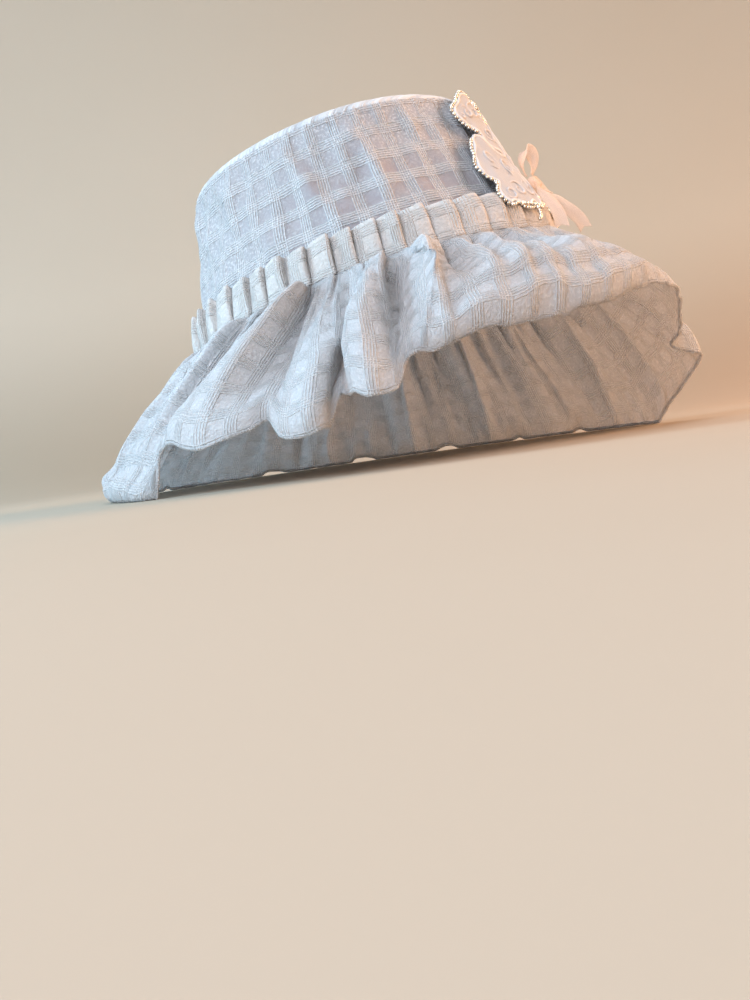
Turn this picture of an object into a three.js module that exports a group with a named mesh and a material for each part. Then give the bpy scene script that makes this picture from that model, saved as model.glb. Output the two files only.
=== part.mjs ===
// Ruffled sun hat of check gauze with a beaded butterfly applique. Millimetres, +Z up.
// The hat rests on the lobes of its brim. Its front is towards -Y.

import * as THREE from 'three';

// Driving dimensions

const BAND_RADIUS_X = 92;          // outside of the crown wall at the stitch line, side to side
const BAND_EXTRA_Y = 6;            // the head is this much longer front to back, per half
const BAND_HEIGHT = 79.7;          // middle of the stitch line above the surface it rests on
const LEAN_DEG = 13.5;             // the crown leans back by this much
const GAUZE = 1.2;                 // thickness of the check gauze wall
const LINING = 1.0;                // thickness of the lining
const SEAT_GAP = 0.35;             // clearance between neighbouring pieces
const BRIM_THICKNESS = 1.6;        // two layers of gauze
const BRIM_START_X = BAND_RADIUS_X + 3; // middle of the brim cloth just below the stitch line
const BRIM_START_DROP = 1.4;       // how far below the stitch line the brim cloth starts
const PLEAT_COUNT = 48;
const PLEAT_VALLEY_DEG = -50;      // direction of one pleat's valley
const FRILL_HEIGHT = 18.5;
const FRILL_FOOT = 0.3;            // the frill starts this far above the stitch line
const CROWN_COLUMNS = 48;
const BRIM_COLUMNS = 144;
const APPLIQUE_DEG = 20;           // direction of the applique's middle
const APPLIQUE_HEIGHT = 44;        // its middle above the stitch line
const PANEL_THICKNESS = 1.2;
const BEAD_DIAMETER = 2.5;
const BEAD_PITCH = 2.8;
const BEAD_THREAD_RADIUS = 0.5;
const RIBBON_WIDTH = 7;
const RIBBON_THICKNESS = 1.0;
const RIBBON_PINCH = 3;            // its width where it enters the knot

const GAUZE_MATERIAL = new THREE.MeshStandardMaterial({ color: 0xf3f4f7, roughness: 0.9 });
const LINING_MATERIAL = new THREE.MeshStandardMaterial({ color: 0xe4e3e6, roughness: 0.95 });
const PANEL_MATERIAL = new THREE.MeshStandardMaterial({ color: 0xf1ddcf, roughness: 0.85 });
const BEAD_MATERIAL = new THREE.MeshStandardMaterial({ color: 0xcbbfa6, roughness: 0.25, metalness: 0.8 });
const RIBBON_MATERIAL = new THREE.MeshStandardMaterial({ color: 0xf2cdb4, roughness: 0.6 });

// Outside of the crown wall, from the stitch line up to the top's middle
const CROWN_PROFILE = [
  { height: 0, radius: BAND_RADIUS_X },
  { height: 20, radius: 85.5 },
  { height: 40, radius: 79.8 },
  { height: 60, radius: 75.2 },
  { height: 78.6, radius: 71.4 },
];
const WALL_TOP = CROWN_PROFILE[CROWN_PROFILE.length - 1];
const TOP_PROFILE = [
  { height: 79, radius: 71.3 },
  { height: 82, radius: 69.4 },
  { height: 84.2, radius: 65 },
  { height: 85.6, radius: 55 },
  { height: 86.4, radius: 30 },
];
const TOP_MIDDLE_HEIGHT = 86.8;

// Brim folds around the hat, from the back over the wearer's right to the front and on.
// band and rim: direction of the fold at the stitch line and at the hem, degrees, 0 at the front
// radius and height: where the hem is; below 0 the cloth lies flat on the surface
// fold: how far the cloth bulges a third of the way out; roll: the same two thirds out
const BRIM_FOLDS = [
  { band: -176, rim: -176, radius: 156, height: -7, fold: 0, roll: 3 },
  { band: -166, rim: -168, radius: 153, height: 4, fold: -3, roll: 2 },
  { band: -157, rim: -160, radius: 157, height: -7, fold: 3, roll: 3 },
  { band: -147, rim: -151, radius: 154, height: 2, fold: -2, roll: 2 },
  { band: -137, rim: -142, radius: 152, height: 5, fold: 3, roll: 2 },
  { band: -127, rim: -133, radius: 153, height: 1, fold: -3, roll: 3 },
  { band: -117, rim: -125, radius: 152, height: -7, fold: 3, roll: 4 },
  { band: -106, rim: -116, radius: 153, height: -8, fold: -1, roll: 4 },
  { band: -94, rim: -108, radius: 153, height: -8, fold: 5, roll: 3 },
  { band: -86, rim: -102, radius: 151, height: 2, fold: 2, roll: 1 },
  { band: -80, rim: -97, radius: 149, height: 24, fold: -5, roll: 0 },
  { band: -76, rim: -92, radius: 154, height: 27, fold: 0, roll: 4 },
  { band: -71, rim: -84, radius: 158, height: 23, fold: 8, roll: 5 },
  { band: -69, rim: -76, radius: 154, height: 27, fold: -5, roll: 0 },
  { band: -67.5, rim: -72.5, radius: 148, height: 31, fold: -4, roll: 0 },
  { band: -66, rim: -69, radius: 156, height: 23, fold: 4, roll: 4 },
  { band: -63.5, rim: -64.5, radius: 161, height: 19, fold: 9, roll: 5 },
  { band: -61, rim: -62, radius: 154, height: 22, fold: 2, roll: 2 },
  { band: -59, rim: -59, radius: 146, height: 36, fold: -6, roll: -3 },
  { band: -56, rim: -56.5, radius: 156, height: 36, fold: -1, roll: 3 },
  { band: -53, rim: -53, radius: 163, height: 32, fold: 6, roll: 5 },
  { band: -50, rim: -50, radius: 161, height: 36, fold: 3, roll: 3 },
  { band: -46.5, rim: -47.5, radius: 153, height: 46, fold: -6, roll: -1 },
  { band: -43.5, rim: -45, radius: 154, height: 49, fold: 1, roll: 3 },
  { band: -39, rim: -41.5, radius: 156, height: 49, fold: 11, roll: 7 },
  { band: -36, rim: -38.5, radius: 157, height: 51, fold: 2, roll: 9 },
  { band: -33, rim: -35, radius: 157, height: 53, fold: -9, roll: 12 },
  { band: -28, rim: -29, radius: 157, height: 52, fold: -3, roll: 16 },
  { band: -24, rim: -25, radius: 157, height: 54, fold: -7, roll: 17 },
  { band: -20, rim: -21, radius: 157, height: 54, fold: -2, roll: 17 },
  { band: -15, rim: -17, radius: 158, height: 56, fold: -7, roll: 16 },
  { band: -11, rim: -12, radius: 159, height: 60, fold: -2, roll: 14 },
  { band: -6, rim: -6, radius: 159, height: 67, fold: -8, roll: 11 },
  { band: 1, rim: 1, radius: 158, height: 73, fold: 3, roll: 7 },
  { band: 9, rim: 10, radius: 157, height: 75, fold: 3, roll: 5 },
  { band: 17, rim: 18, radius: 154, height: 65, fold: 1, roll: 4 },
  { band: 25, rim: 26, radius: 152, height: 50, fold: 4, roll: 5 },
  { band: 31, rim: 31, radius: 146, height: 45, fold: -4, roll: 0 },
  { band: 38, rim: 37, radius: 163, height: 34, fold: 3, roll: 4 },
  { band: 46, rim: 46, radius: 160, height: 22, fold: -2, roll: 4 },
  { band: 54, rim: 55, radius: 158, height: 9, fold: 3, roll: 3 },
  { band: 61, rim: 63, radius: 158.5, height: -7, fold: 0, roll: 3 },
  { band: 69, rim: 73, radius: 158, height: -7, fold: 3, roll: 3 },
  { band: 79, rim: 82, radius: 153, height: 5, fold: -4, roll: 2 },
  { band: 88, rim: 90, radius: 158, height: -3, fold: 3, roll: 3 },
  { band: 97, rim: 99, radius: 154, height: 5, fold: -3, roll: 2 },
  { band: 106, rim: 108, radius: 158, height: -7, fold: 3, roll: 3 },
  { band: 116, rim: 117, radius: 153, height: 5, fold: -3, roll: 2 },
  { band: 127, rim: 127, radius: 157, height: -6, fold: 3, roll: 3 },
  { band: 138, rim: 137, radius: 153, height: 5, fold: -3, roll: 2 },
  { band: 149, rim: 148, radius: 158, height: -7, fold: 3, roll: 3 },
  { band: 160, rim: 159, radius: 153, height: 5, fold: -3, roll: 2 },
  { band: 172, rim: 172, radius: 159, height: -6, fold: 2, roll: 3 },
];

// Stations of the brim cloth from the stitch line, 0, to the hem, 1
const BRIM_STATIONS = [0, 0.1, 0.24, 0.42, 0.6, 0.78, 0.93, 1];

// Outlines of the applique's panels. x: outwards from its middle line; y: up from its centre
const UPPER_PANEL = [
  { x: 2.6, y: 1.5 }, { x: 2.6, y: 18 }, { x: 4, y: 33 }, { x: 8, y: 43 }, { x: 15, y: 44 },
  { x: 23, y: 39 }, { x: 30, y: 33 }, { x: 36.5, y: 28 }, { x: 37, y: 23.5 }, { x: 31, y: 21 },
  { x: 25, y: 19 }, { x: 22, y: 14 }, { x: 22, y: 8.5 }, { x: 16, y: 4.5 }, { x: 8, y: 2 },
];
const LOWER_PANEL = [
  { x: 2.6, y: -1.5 }, { x: 12, y: 0 }, { x: 20, y: 3.5 }, { x: 28, y: 6.5 }, { x: 34, y: 2.5 },
  { x: 40, y: -5 }, { x: 44.5, y: -11 }, { x: 44, y: -16 }, { x: 39.5, y: -20 }, { x: 42, y: -24.5 },
  { x: 45.5, y: -29 }, { x: 43, y: -33 }, { x: 37, y: -31.5 }, { x: 32, y: -34 }, { x: 26, y: -34 },
  { x: 20, y: -30.5 }, { x: 13, y: -32 }, { x: 7, y: -28 }, { x: 3.4, y: -16 },
];

// Ribbon routes. x, y: as above; lift: out from the applique's panels
const BOW_LOOP_UPPER = [
  { x: 7.6, y: -9.6, lift: 2.2 }, { x: 7, y: -5, lift: 3.6 }, { x: 7, y: 0, lift: 6.5 },
  { x: 8, y: 3.5, lift: 10 }, { x: 11, y: 2, lift: 11.5 }, { x: 12, y: -3, lift: 9.5 },
  { x: 9.6, y: -9.2, lift: 5 },
];
const BOW_LOOP_LOWER = [
  { x: 11.2, y: -13, lift: 2.4 }, { x: 17, y: -11, lift: 3.4 }, { x: 24, y: -9, lift: 5 },
  { x: 28, y: -13, lift: 6.5 }, { x: 24, y: -16.5, lift: 7 }, { x: 17, y: -16.5, lift: 6 },
  { x: 11.4, y: -15, lift: 4.4 },
];
const BOW_TAIL_LONG = [
  { x: 8.4, y: -18.4, lift: 3.2 }, { x: 9.5, y: -24, lift: 3.4 }, { x: 10, y: -31, lift: 3.6 },
  { x: 10, y: -38, lift: 5.4 }, { x: 9, y: -46, lift: 4.6 }, { x: 7, y: -51, lift: 3 },
];
const BOW_TAIL_SHORT = [
  { x: 4.8, y: -15.6, lift: 3.4 }, { x: 0, y: -22, lift: 4 }, { x: -4, y: -30, lift: 4.5 },
  { x: -7, y: -38, lift: 4 }, { x: -9, y: -45, lift: 2 },
];
const BOW_KNOT = { x: 8, y: -14, lift: 3.4, across: 4.6, along: 3.8, deep: 2.4 };

// Helpers

const radians = (degrees) => degrees * Math.PI / 180;
const mix = (a, b, t) => a + (b - a) * t;
const smooth = (t) => {
  const c = Math.min(1, Math.max(0, t));
  return c * c * (3 - 2 * c);
};

// A point of the upright hat, leaned back and lifted to where the hat rests
function hatPoint(x, y, height) {
  const lean = radians(LEAN_DEG);
  return new THREE.Vector3(
    x,
    y * Math.cos(lean) + height * Math.sin(lean),
    -y * Math.sin(lean) + height * Math.cos(lean) + BAND_HEIGHT,
  );
}

// A point on the oval of the given half width, in a direction, 0 at the front
function ovalPoint(radius, degrees, height) {
  const angle = radians(degrees);
  return hatPoint(radius * Math.sin(angle), -(radius + BAND_EXTRA_Y) * Math.cos(angle), height);
}

// A closed body from a list of points and triangles, with its faces pointing out
function closedMesh(name, material, points, triangles) {
  let volume = 0;
  for (const [a, b, c] of triangles) {
    volume += points[a].dot(new THREE.Vector3().crossVectors(points[b], points[c]));
  }
  const index = volume > 0 ? triangles.flat() : triangles.flatMap(([a, b, c]) => [a, c, b]);
  const geometry = new THREE.BufferGeometry();
  geometry.setAttribute('position', new THREE.Float32BufferAttribute(points.flatMap((p) => p.toArray()), 3));
  geometry.setIndex(index);
  geometry.computeVertexNormals();
  const mesh = new THREE.Mesh(geometry, material);
  mesh.name = name;
  return mesh;
}

// Two triangles between columns i and j and rows k and l of a grid whose points a function numbers
function pushQuad(triangles, number, i, j, k, l) {
  triangles.push([number(i, k), number(j, k), number(j, l)]);
  triangles.push([number(i, k), number(j, l), number(i, l)]);
}

// A ring-shaped wall between an outer and an inner face, both given by column and row
function ringWall(name, material, columns, rows, outer, inner) {
  const points = [];
  for (const face of [outer, inner]) {
    for (let i = 0; i < columns; i += 1) {
      for (let k = 0; k < rows; k += 1) points.push(face(i, k));
    }
  }
  const onOuter = (i, k) => i * rows + k;
  const onInner = (i, k) => (columns + i) * rows + k;
  const triangles = [];
  for (let i = 0; i < columns; i += 1) {
    const j = (i + 1) % columns;
    for (let k = 0; k + 1 < rows; k += 1) {
      pushQuad(triangles, onOuter, i, j, k, k + 1);
      pushQuad(triangles, onInner, j, i, k, k + 1);
    }
    for (const [k, first, second] of [[0, onInner, onOuter], [rows - 1, onOuter, onInner]]) {
      triangles.push([first(i, k), first(j, k), second(j, k)]);
      triangles.push([first(i, k), second(j, k), second(i, k)]);
    }
  }
  return closedMesh(name, material, points, triangles);
}

// A plate or dome between a front and a back face, each with rings from the edge to one middle point
function fanWall(name, material, columns, rings, front, back, frontMiddle, backMiddle) {
  const points = [];
  for (const face of [front, back]) {
    for (let i = 0; i < columns; i += 1) {
      for (let k = 0; k < rings; k += 1) points.push(face(i, k));
    }
  }
  points.push(frontMiddle, backMiddle);
  const middle = [points.length - 2, points.length - 1];
  const onFront = (i, k) => i * rings + k;
  const onBack = (i, k) => (columns + i) * rings + k;
  const triangles = [];
  for (let i = 0; i < columns; i += 1) {
    const j = (i + 1) % columns;
    for (let k = 0; k + 1 < rings; k += 1) {
      pushQuad(triangles, onFront, i, j, k, k + 1);
      pushQuad(triangles, onBack, j, i, k, k + 1);
    }
    triangles.push([onFront(i, rings - 1), onFront(j, rings - 1), middle[0]]);
    triangles.push([onBack(j, rings - 1), onBack(i, rings - 1), middle[1]]);
    triangles.push([onBack(i, 0), onBack(j, 0), onFront(j, 0)]);
    triangles.push([onBack(i, 0), onFront(j, 0), onFront(i, 0)]);
  }
  return closedMesh(name, material, points, triangles);
}

// A closed rod: sections of equal sides between a first and a last point
function rod(name, material, sections, first, last) {
  const sides = sections[0].length;
  const points = [...sections.flat(), first, last];
  const number = (section, side) => section * sides + (side % sides);
  const triangles = [];
  for (let side = 0; side < sides; side += 1) {
    triangles.push([points.length - 2, number(0, side + 1), number(0, side)]);
    for (let section = 0; section + 1 < sections.length; section += 1) {
      pushQuad(triangles, number, section, section + 1, side + 1, side);
    }
    const end = sections.length - 1;
    triangles.push([points.length - 1, number(end, side), number(end, side + 1)]);
  }
  return closedMesh(name, material, points, triangles);
}

// Crown

// Outside half width of the crown wall at a height, with the wall's own slope carried on above it
function crownRadius(height) {
  let row = 0;
  while (row < CROWN_PROFILE.length - 2 && height > CROWN_PROFILE[row + 1].height) row += 1;
  const below = CROWN_PROFILE[row];
  const above = CROWN_PROFILE[row + 1];
  return mix(below.radius, above.radius, (height - below.height) / (above.height - below.height));
}

// The soft wall isn't a true oval: it leans in and out in waves around it, full at the top
const DENT_WAVES = [
  { waves: 3, depth: 0.9, shift: 0.6 },
  { waves: 5, depth: 0.5, shift: -1.1 },
];

function crownDent(degrees, height) {
  const full = DENT_WAVES.reduce((sum, { waves, depth, shift }) => (
    sum + depth * Math.sin(waves * radians(degrees) + shift)
  ), 0);
  return full * (height / WALL_TOP.height);
}

const crownPoint = (degrees, height, inward) => ovalPoint(
  crownRadius(height) + crownDent(degrees, height) - inward, degrees, height,
);

const columnDegrees = (i, columns) => PLEAT_VALLEY_DEG + (360 * i) / columns;

function crownSide() {
  const face = (inward) => (i, k) => crownPoint(
    columnDegrees(i, CROWN_COLUMNS), CROWN_PROFILE[k].height, inward,
  );
  return ringWall('crown_side', GAUZE_MATERIAL, CROWN_COLUMNS, CROWN_PROFILE.length, face(0), face(GAUZE));
}

// A point of the top panel's profile, moved in and down by an inset
function topPoint(degrees, row, inset) {
  const { height, radius } = TOP_PROFILE[row];
  const dent = crownDent(degrees, height) * (radius / TOP_PROFILE[0].radius);
  const drop = row === 0 ? 0 : inset;
  return ovalPoint(radius + dent - inset, degrees, height - drop);
}

function crownTop() {
  const face = (inset) => (i, k) => topPoint(columnDegrees(i, CROWN_COLUMNS), k, inset);
  return fanWall(
    'crown_top', GAUZE_MATERIAL, CROWN_COLUMNS, TOP_PROFILE.length, face(0), face(GAUZE),
    hatPoint(0, 0, TOP_MIDDLE_HEIGHT), hatPoint(0, 0, TOP_MIDDLE_HEIGHT - GAUZE),
  );
}

const LINING_INSET = GAUZE + SEAT_GAP + 0.1;

// The lining follows the wall and the top a little further in
function crownLining() {
  const wall = CROWN_PROFILE.slice(0, -1);
  const rings = wall.length + TOP_PROFILE.length - 1;
  const face = (layer) => (i, k) => {
    const degrees = columnDegrees(i, CROWN_COLUMNS);
    const inset = LINING_INSET + layer;
    if (k < wall.length) return crownPoint(degrees, wall[k].height, inset);
    return topPoint(degrees, k - wall.length + 1, inset);
  };
  return fanWall(
    'crown_lining', LINING_MATERIAL, CROWN_COLUMNS, rings, face(0), face(LINING),
    hatPoint(0, 0, TOP_MIDDLE_HEIGHT - LINING_INSET),
    hatPoint(0, 0, TOP_MIDDLE_HEIGHT - LINING_INSET - LINING),
  );
}

// Gathered heading

const FRILL_ROWS = [
  { height: FRILL_FOOT, depth: 1.6, stand: 0.3 },
  { height: 9, depth: 2.6, stand: 0.1 },
  { height: FRILL_HEIGHT, depth: 3.2, stand: 0.2 },
];
const FRILL_THICKNESS = 1.4;
const TAB_RISE = 0.6;              // how far a pleat's tab rises above its valleys
const TAB_UNEVEN = 0.5;            // and how much its rise differs from pleat to pleat
const COLUMNS_PER_PLEAT = BRIM_COLUMNS / PLEAT_COUNT;

// Columns go valley, tab, tab: each pleat's tab stands out and its top edge rises a little
function headerFrill() {
  const face = (layer) => (i, k) => {
    const degrees = columnDegrees(i, BRIM_COLUMNS);
    const row = FRILL_ROWS[k];
    const onTab = i % COLUMNS_PER_PLEAT !== 0;
    const uneven = TAB_UNEVEN * Math.sin(2.3 * Math.floor(i / COLUMNS_PER_PLEAT));
    const out = onTab ? row.depth + row.stand + uneven * (row.depth / 6) : row.stand;
    const rise = k === FRILL_ROWS.length - 1 && onTab ? TAB_RISE + uneven : 0;
    const wall = crownRadius(row.height) + crownDent(degrees, row.height) + SEAT_GAP;
    return ovalPoint(wall + out + layer, degrees, row.height + rise);
  };
  return ringWall(
    'header_frill', GAUZE_MATERIAL, BRIM_COLUMNS, FRILL_ROWS.length, face(FRILL_THICKNESS), face(0),
  );
}

// Brim

// The fold table at any direction of the stitch line, joined without overshoot between its rows
function brimFoldAt(degrees) {
  const count = BRIM_FOLDS.length;
  const turned = (index) => {
    const turn = Math.floor(index / count);
    const row = BRIM_FOLDS[index - turn * count];
    return { ...row, band: row.band + 360 * turn, rim: row.rim + 360 * turn };
  };
  const from = BRIM_FOLDS[0].band;
  const wrapped = from + ((((degrees - from) % 360) + 360) % 360);
  let index = 0;
  while (index + 1 < count && BRIM_FOLDS[index + 1].band <= wrapped) index += 1;
  const rows = [index - 1, index, index + 1, index + 2].map(turned);
  const span = rows[2].band - rows[1].band;
  const t = (wrapped - rows[1].band) / span;
  const slope = (column, at) => {
    const before = (rows[at][column] - rows[at - 1][column]) / (rows[at].band - rows[at - 1].band);
    const after = (rows[at + 1][column] - rows[at][column]) / (rows[at + 1].band - rows[at].band);
    return before * after > 0 ? (2 * before * after) / (before + after) : 0;
  };
  const result = {};
  for (const column of ['rim', 'radius', 'height', 'fold', 'roll']) {
    const start = rows[1][column];
    const end = rows[2][column];
    result[column] = start * (2 * t ** 3 - 3 * t ** 2 + 1) + end * (3 * t ** 2 - 2 * t ** 3)
      + slope(column, 1) * span * (t ** 3 - 2 * t ** 2 + t) + slope(column, 2) * span * (t ** 3 - t ** 2);
  }
  return result;
}

const GATHER_DEPTH = 1.6;
const GATHER_REACH = 0.22;         // the gathers die away over this share of the brim
const GATHER_START = 1 / 8;        // and are full only this far from the stitch line
const BUMP = 6.75;                 // makes the folds' cubic humps 1 high at their peaks

// Middle of the brim cloth: straight from the stitch line to the hem, plus folds and gathers
function brimMiddle(i, k) {
  const degrees = columnDegrees(i, BRIM_COLUMNS);
  const station = BRIM_STATIONS[k];
  const row = brimFoldAt(degrees);
  const start = ovalPoint(BRIM_START_X, degrees, -BRIM_START_DROP);
  const rim = radians(row.rim);
  const end = new THREE.Vector3(row.radius * Math.sin(rim), -row.radius * Math.cos(rim), row.height);
  const middleAngle = (radians(degrees < row.rim - 180 ? degrees + 360 : degrees) + rim) / 2;
  const along = new THREE.Vector3().subVectors(end, start);
  const around = new THREE.Vector3(Math.cos(middleAngle), Math.sin(middleAngle), 0);
  const out = new THREE.Vector3().crossVectors(around, along).normalize();
  if (out.z < 0) out.negate();
  const fold = row.fold * BUMP * station * (1 - station) ** 2;
  const roll = row.roll * BUMP * station ** 2 * (1 - station);
  const gather = i % COLUMNS_PER_PLEAT === 0 ? -GATHER_DEPTH : GATHER_DEPTH / 2;
  const reach = Math.exp(-((station / GATHER_REACH) ** 2)) * Math.min(1, station / GATHER_START);
  const point = start.addScaledVector(along, station).addScaledVector(out, fold + roll + gather * reach);
  point.z = Math.max(point.z, BRIM_THICKNESS / 2);
  return point;
}

// The cloth's faces lie half its thickness each side of its middle
function brim() {
  const rows = BRIM_STATIONS.length;
  const middle = [];
  for (let i = 0; i < BRIM_COLUMNS; i += 1) {
    middle.push(BRIM_STATIONS.map((_, k) => brimMiddle(i, k)));
  }
  const offset = (side) => (i, k) => {
    const next = middle[(i + 1) % BRIM_COLUMNS][k];
    const previous = middle[(i + BRIM_COLUMNS - 1) % BRIM_COLUMNS][k];
    const outer = middle[i][Math.min(rows - 1, k + 1)];
    const inner = middle[i][Math.max(0, k - 1)];
    const around = new THREE.Vector3().subVectors(next, previous);
    const along = new THREE.Vector3().subVectors(outer, inner);
    const normal = new THREE.Vector3().crossVectors(along, around).normalize();
    const resting = middle[i][k].z <= BRIM_THICKNESS / 2;
    if (resting) normal.set(0, 0, 1);
    const point = middle[i][k].clone().addScaledVector(normal, side * BRIM_THICKNESS / 2);
    if (resting) point.z = side > 0 ? BRIM_THICKNESS : 0;
    point.z = Math.max(point.z, 0);
    return point;
  };
  return ringWall('brim', GAUZE_MATERIAL, BRIM_COLUMNS, rows, offset(1), offset(-1));
}

// Applique

const FRILL_CLEARANCE = 7.2;       // panels pass over the gathered heading at this distance
const PANEL_STAND = 6.0;           // and stand this far off the bare crown wall
const OVER_FRILL_HEIGHT = 20;      // up to here the first distance holds
const OVER_WALL_HEIGHT = 44;       // and from here on the second
const PANEL_CUP = 0.8;             // the panels' outer edges lift by this much more
const PANEL_HALF_WIDTH = 45;
const CROWN_SLOPE = Math.atan2(BAND_RADIUS_X - WALL_TOP.radius, WALL_TOP.height);

// How far the panels' middle is from the crown wall at a height
function panelStand(height) {
  const t = (height - OVER_FRILL_HEIGHT) / (OVER_WALL_HEIGHT - OVER_FRILL_HEIGHT);
  return mix(FRILL_CLEARANCE, PANEL_STAND, smooth(t));
}

// A point of the applique: x across, y up the crown's slope, lift out of its panels
function appliquePoint(x, y, lift) {
  const height = APPLIQUE_HEIGHT + y * Math.cos(CROWN_SLOPE);
  const cup = PANEL_CUP * (x / PANEL_HALF_WIDTH) ** 2;
  const radius = crownRadius(height) + panelStand(height) + cup + lift;
  const degrees = APPLIQUE_DEG + (x / radius) * (180 / Math.PI);
  return ovalPoint(radius, degrees, height);
}

// The outline as a smooth closed curve through its table's points
function panelOutline(table, side) {
  const corners = table.map(({ x, y }) => new THREE.Vector3(side * x, y, 0));
  return new THREE.CatmullRomCurve3(corners, true, 'centripetal');
}

const PANEL_RINGS = [1, 0.72, 0.36];

function panel(name, table, side) {
  const outline = panelOutline(table, side);
  const columns = table.length * 2;
  const edge = [];
  for (let i = 0; i < columns; i += 1) edge.push(outline.getPoint(i / columns));
  const centre = new THREE.Vector3();
  edge.forEach((point) => centre.addScaledVector(point, 1 / columns));
  const face = (lift) => (i, k) => {
    const flat = centre.clone().lerp(edge[i], PANEL_RINGS[k]);
    return appliquePoint(flat.x, flat.y, lift);
  };
  const half = PANEL_THICKNESS / 2;
  return fanWall(
    name, PANEL_MATERIAL, columns, PANEL_RINGS.length, face(half), face(-half),
    appliquePoint(centre.x, centre.y, half), appliquePoint(centre.x, centre.y, -half),
  );
}

// A string of beads just outside a panel's free edge, as one solid that swells at each bead
const BEAD_SIDES = 5;
const BEAD_SEGMENTS = 3;
const BEAD_CLEARANCE = SEAT_GAP + 0.25;
const LENGTH_STEPS = 120;
const TANGENT_STEP = 0.004;

function beadString(name, table, side, from, to) {
  const outline = panelOutline(table, side);
  const centre = new THREE.Vector3();
  table.forEach(({ x, y }) => centre.add(new THREE.Vector3(side * x, y, 0).divideScalar(table.length)));
  const reach = BEAD_DIAMETER / 2 + BEAD_CLEARANCE;
  const route = (t) => {
    const at = outline.getPoint(mix(from, to, t));
    const tangent = outline.getTangent(mix(from, to, t));
    const away = new THREE.Vector3(tangent.y, -tangent.x, 0);
    if (away.dot(new THREE.Vector3().subVectors(at, centre)) < 0) away.negate();
    return at.addScaledVector(away, reach);
  };
  let length = 0;
  for (let i = 0; i < LENGTH_STEPS; i += 1) {
    length += route(i / LENGTH_STEPS).distanceTo(route((i + 1) / LENGTH_STEPS));
  }
  const beads = Math.round(length / BEAD_PITCH);
  const stations = beads * BEAD_SEGMENTS;
  const at = (t) => {
    const flat = route(Math.min(1, Math.max(0, t)));
    return appliquePoint(flat.x, flat.y, 0);
  };
  const sections = [];
  for (let s = 0; s <= stations; s += 1) {
    const t = s / stations;
    const centrePoint = at(t);
    const direction = new THREE.Vector3()
      .subVectors(at(t + TANGENT_STEP), at(t - TANGENT_STEP)).normalize();
    const out = new THREE.Vector3().subVectors(centrePoint, hatPoint(0, 0, APPLIQUE_HEIGHT));
    const right = new THREE.Vector3().crossVectors(direction, out).normalize();
    const up = new THREE.Vector3().crossVectors(right, direction).normalize();
    const swell = s % BEAD_SEGMENTS === 0 ? 0 : 1;
    const radius = mix(BEAD_THREAD_RADIUS, BEAD_DIAMETER / 2, swell);
    const ring = [];
    for (let corner = 0; corner < BEAD_SIDES; corner += 1) {
      const angle = (2 * Math.PI * corner) / BEAD_SIDES;
      ring.push(centrePoint.clone()
        .addScaledVector(right, radius * Math.cos(angle))
        .addScaledVector(up, radius * Math.sin(angle)));
    }
    sections.push(ring);
  }
  return rod(name, BEAD_MATERIAL, sections, at(0), at(1));
}

// The narrow padded middle of the applique, sewn down to the crown wall behind it
const BODY_HALF_LENGTH = 21;
const BODY_HALF_WIDTH = 1.9;
const BODY_SECTIONS = 7;
const BODY_FRONT = 1.6;
const BODY_SEAT = SEAT_GAP + 0.2;

function appliqueBody() {
  const sections = [];
  const seatAt = (y) => {
    const height = APPLIQUE_HEIGHT + y * Math.cos(CROWN_SLOPE);
    return BODY_SEAT - panelStand(height);
  };
  const pole = (y) => appliquePoint(0, y, (BODY_FRONT + seatAt(y)) / 2);
  for (let s = 1; s <= BODY_SECTIONS; s += 1) {
    const along = -Math.cos((Math.PI * s) / (BODY_SECTIONS + 1));
    const y = BODY_HALF_LENGTH * along;
    const girth = Math.sqrt(1 - along * along);
    const back = seatAt(y);
    const middle = (BODY_FRONT + back) / 2;
    const half = (BODY_FRONT - back) / 2;
    const ring = [];
    for (let corner = 0; corner < 8; corner += 1) {
      const angle = (Math.PI * (corner + 0.5)) / 4;
      ring.push(appliquePoint(
        BODY_HALF_WIDTH * girth * Math.cos(angle), y, middle + half * girth * Math.sin(angle),
      ));
    }
    sections.push(ring);
  }
  return rod('wing_body', PANEL_MATERIAL, sections, pole(-BODY_HALF_LENGTH), pole(BODY_HALF_LENGTH));
}

// Ribbon bow

// A flat ribbon along a route, pinched where it enters the knot, with its width across a direction
function ribbon(name, route, steps, flatTo, returns) {
  const curve = new THREE.CatmullRomCurve3(
    route.map(({ x, y, lift }) => appliquePoint(x, y, lift)), false, 'centripetal',
  );
  const sections = [];
  for (let s = 0; s <= steps; s += 1) {
    const t = s / steps;
    const fromKnot = returns ? Math.min(t, 1 - t) : t;
    const half = mix(RIBBON_PINCH, RIBBON_WIDTH, smooth(fromKnot * 2.5)) / 2;
    const centre = curve.getPoint(t);
    const direction = curve.getTangent(t);
    const across = new THREE.Vector3().crossVectors(direction, flatTo).normalize();
    const through = new THREE.Vector3().crossVectors(direction, across).normalize();
    sections.push([[1, 1], [-1, 1], [-1, -1], [1, -1]].map(([a, b]) => centre.clone()
      .addScaledVector(across, a * half)
      .addScaledVector(through, b * RIBBON_THICKNESS / 2)));
  }
  return rod(name, RIBBON_MATERIAL, sections, curve.getPoint(0), curve.getPoint(1));
}

const KNOT_LEVELS = [-0.72, 0, 0.72];

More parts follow.
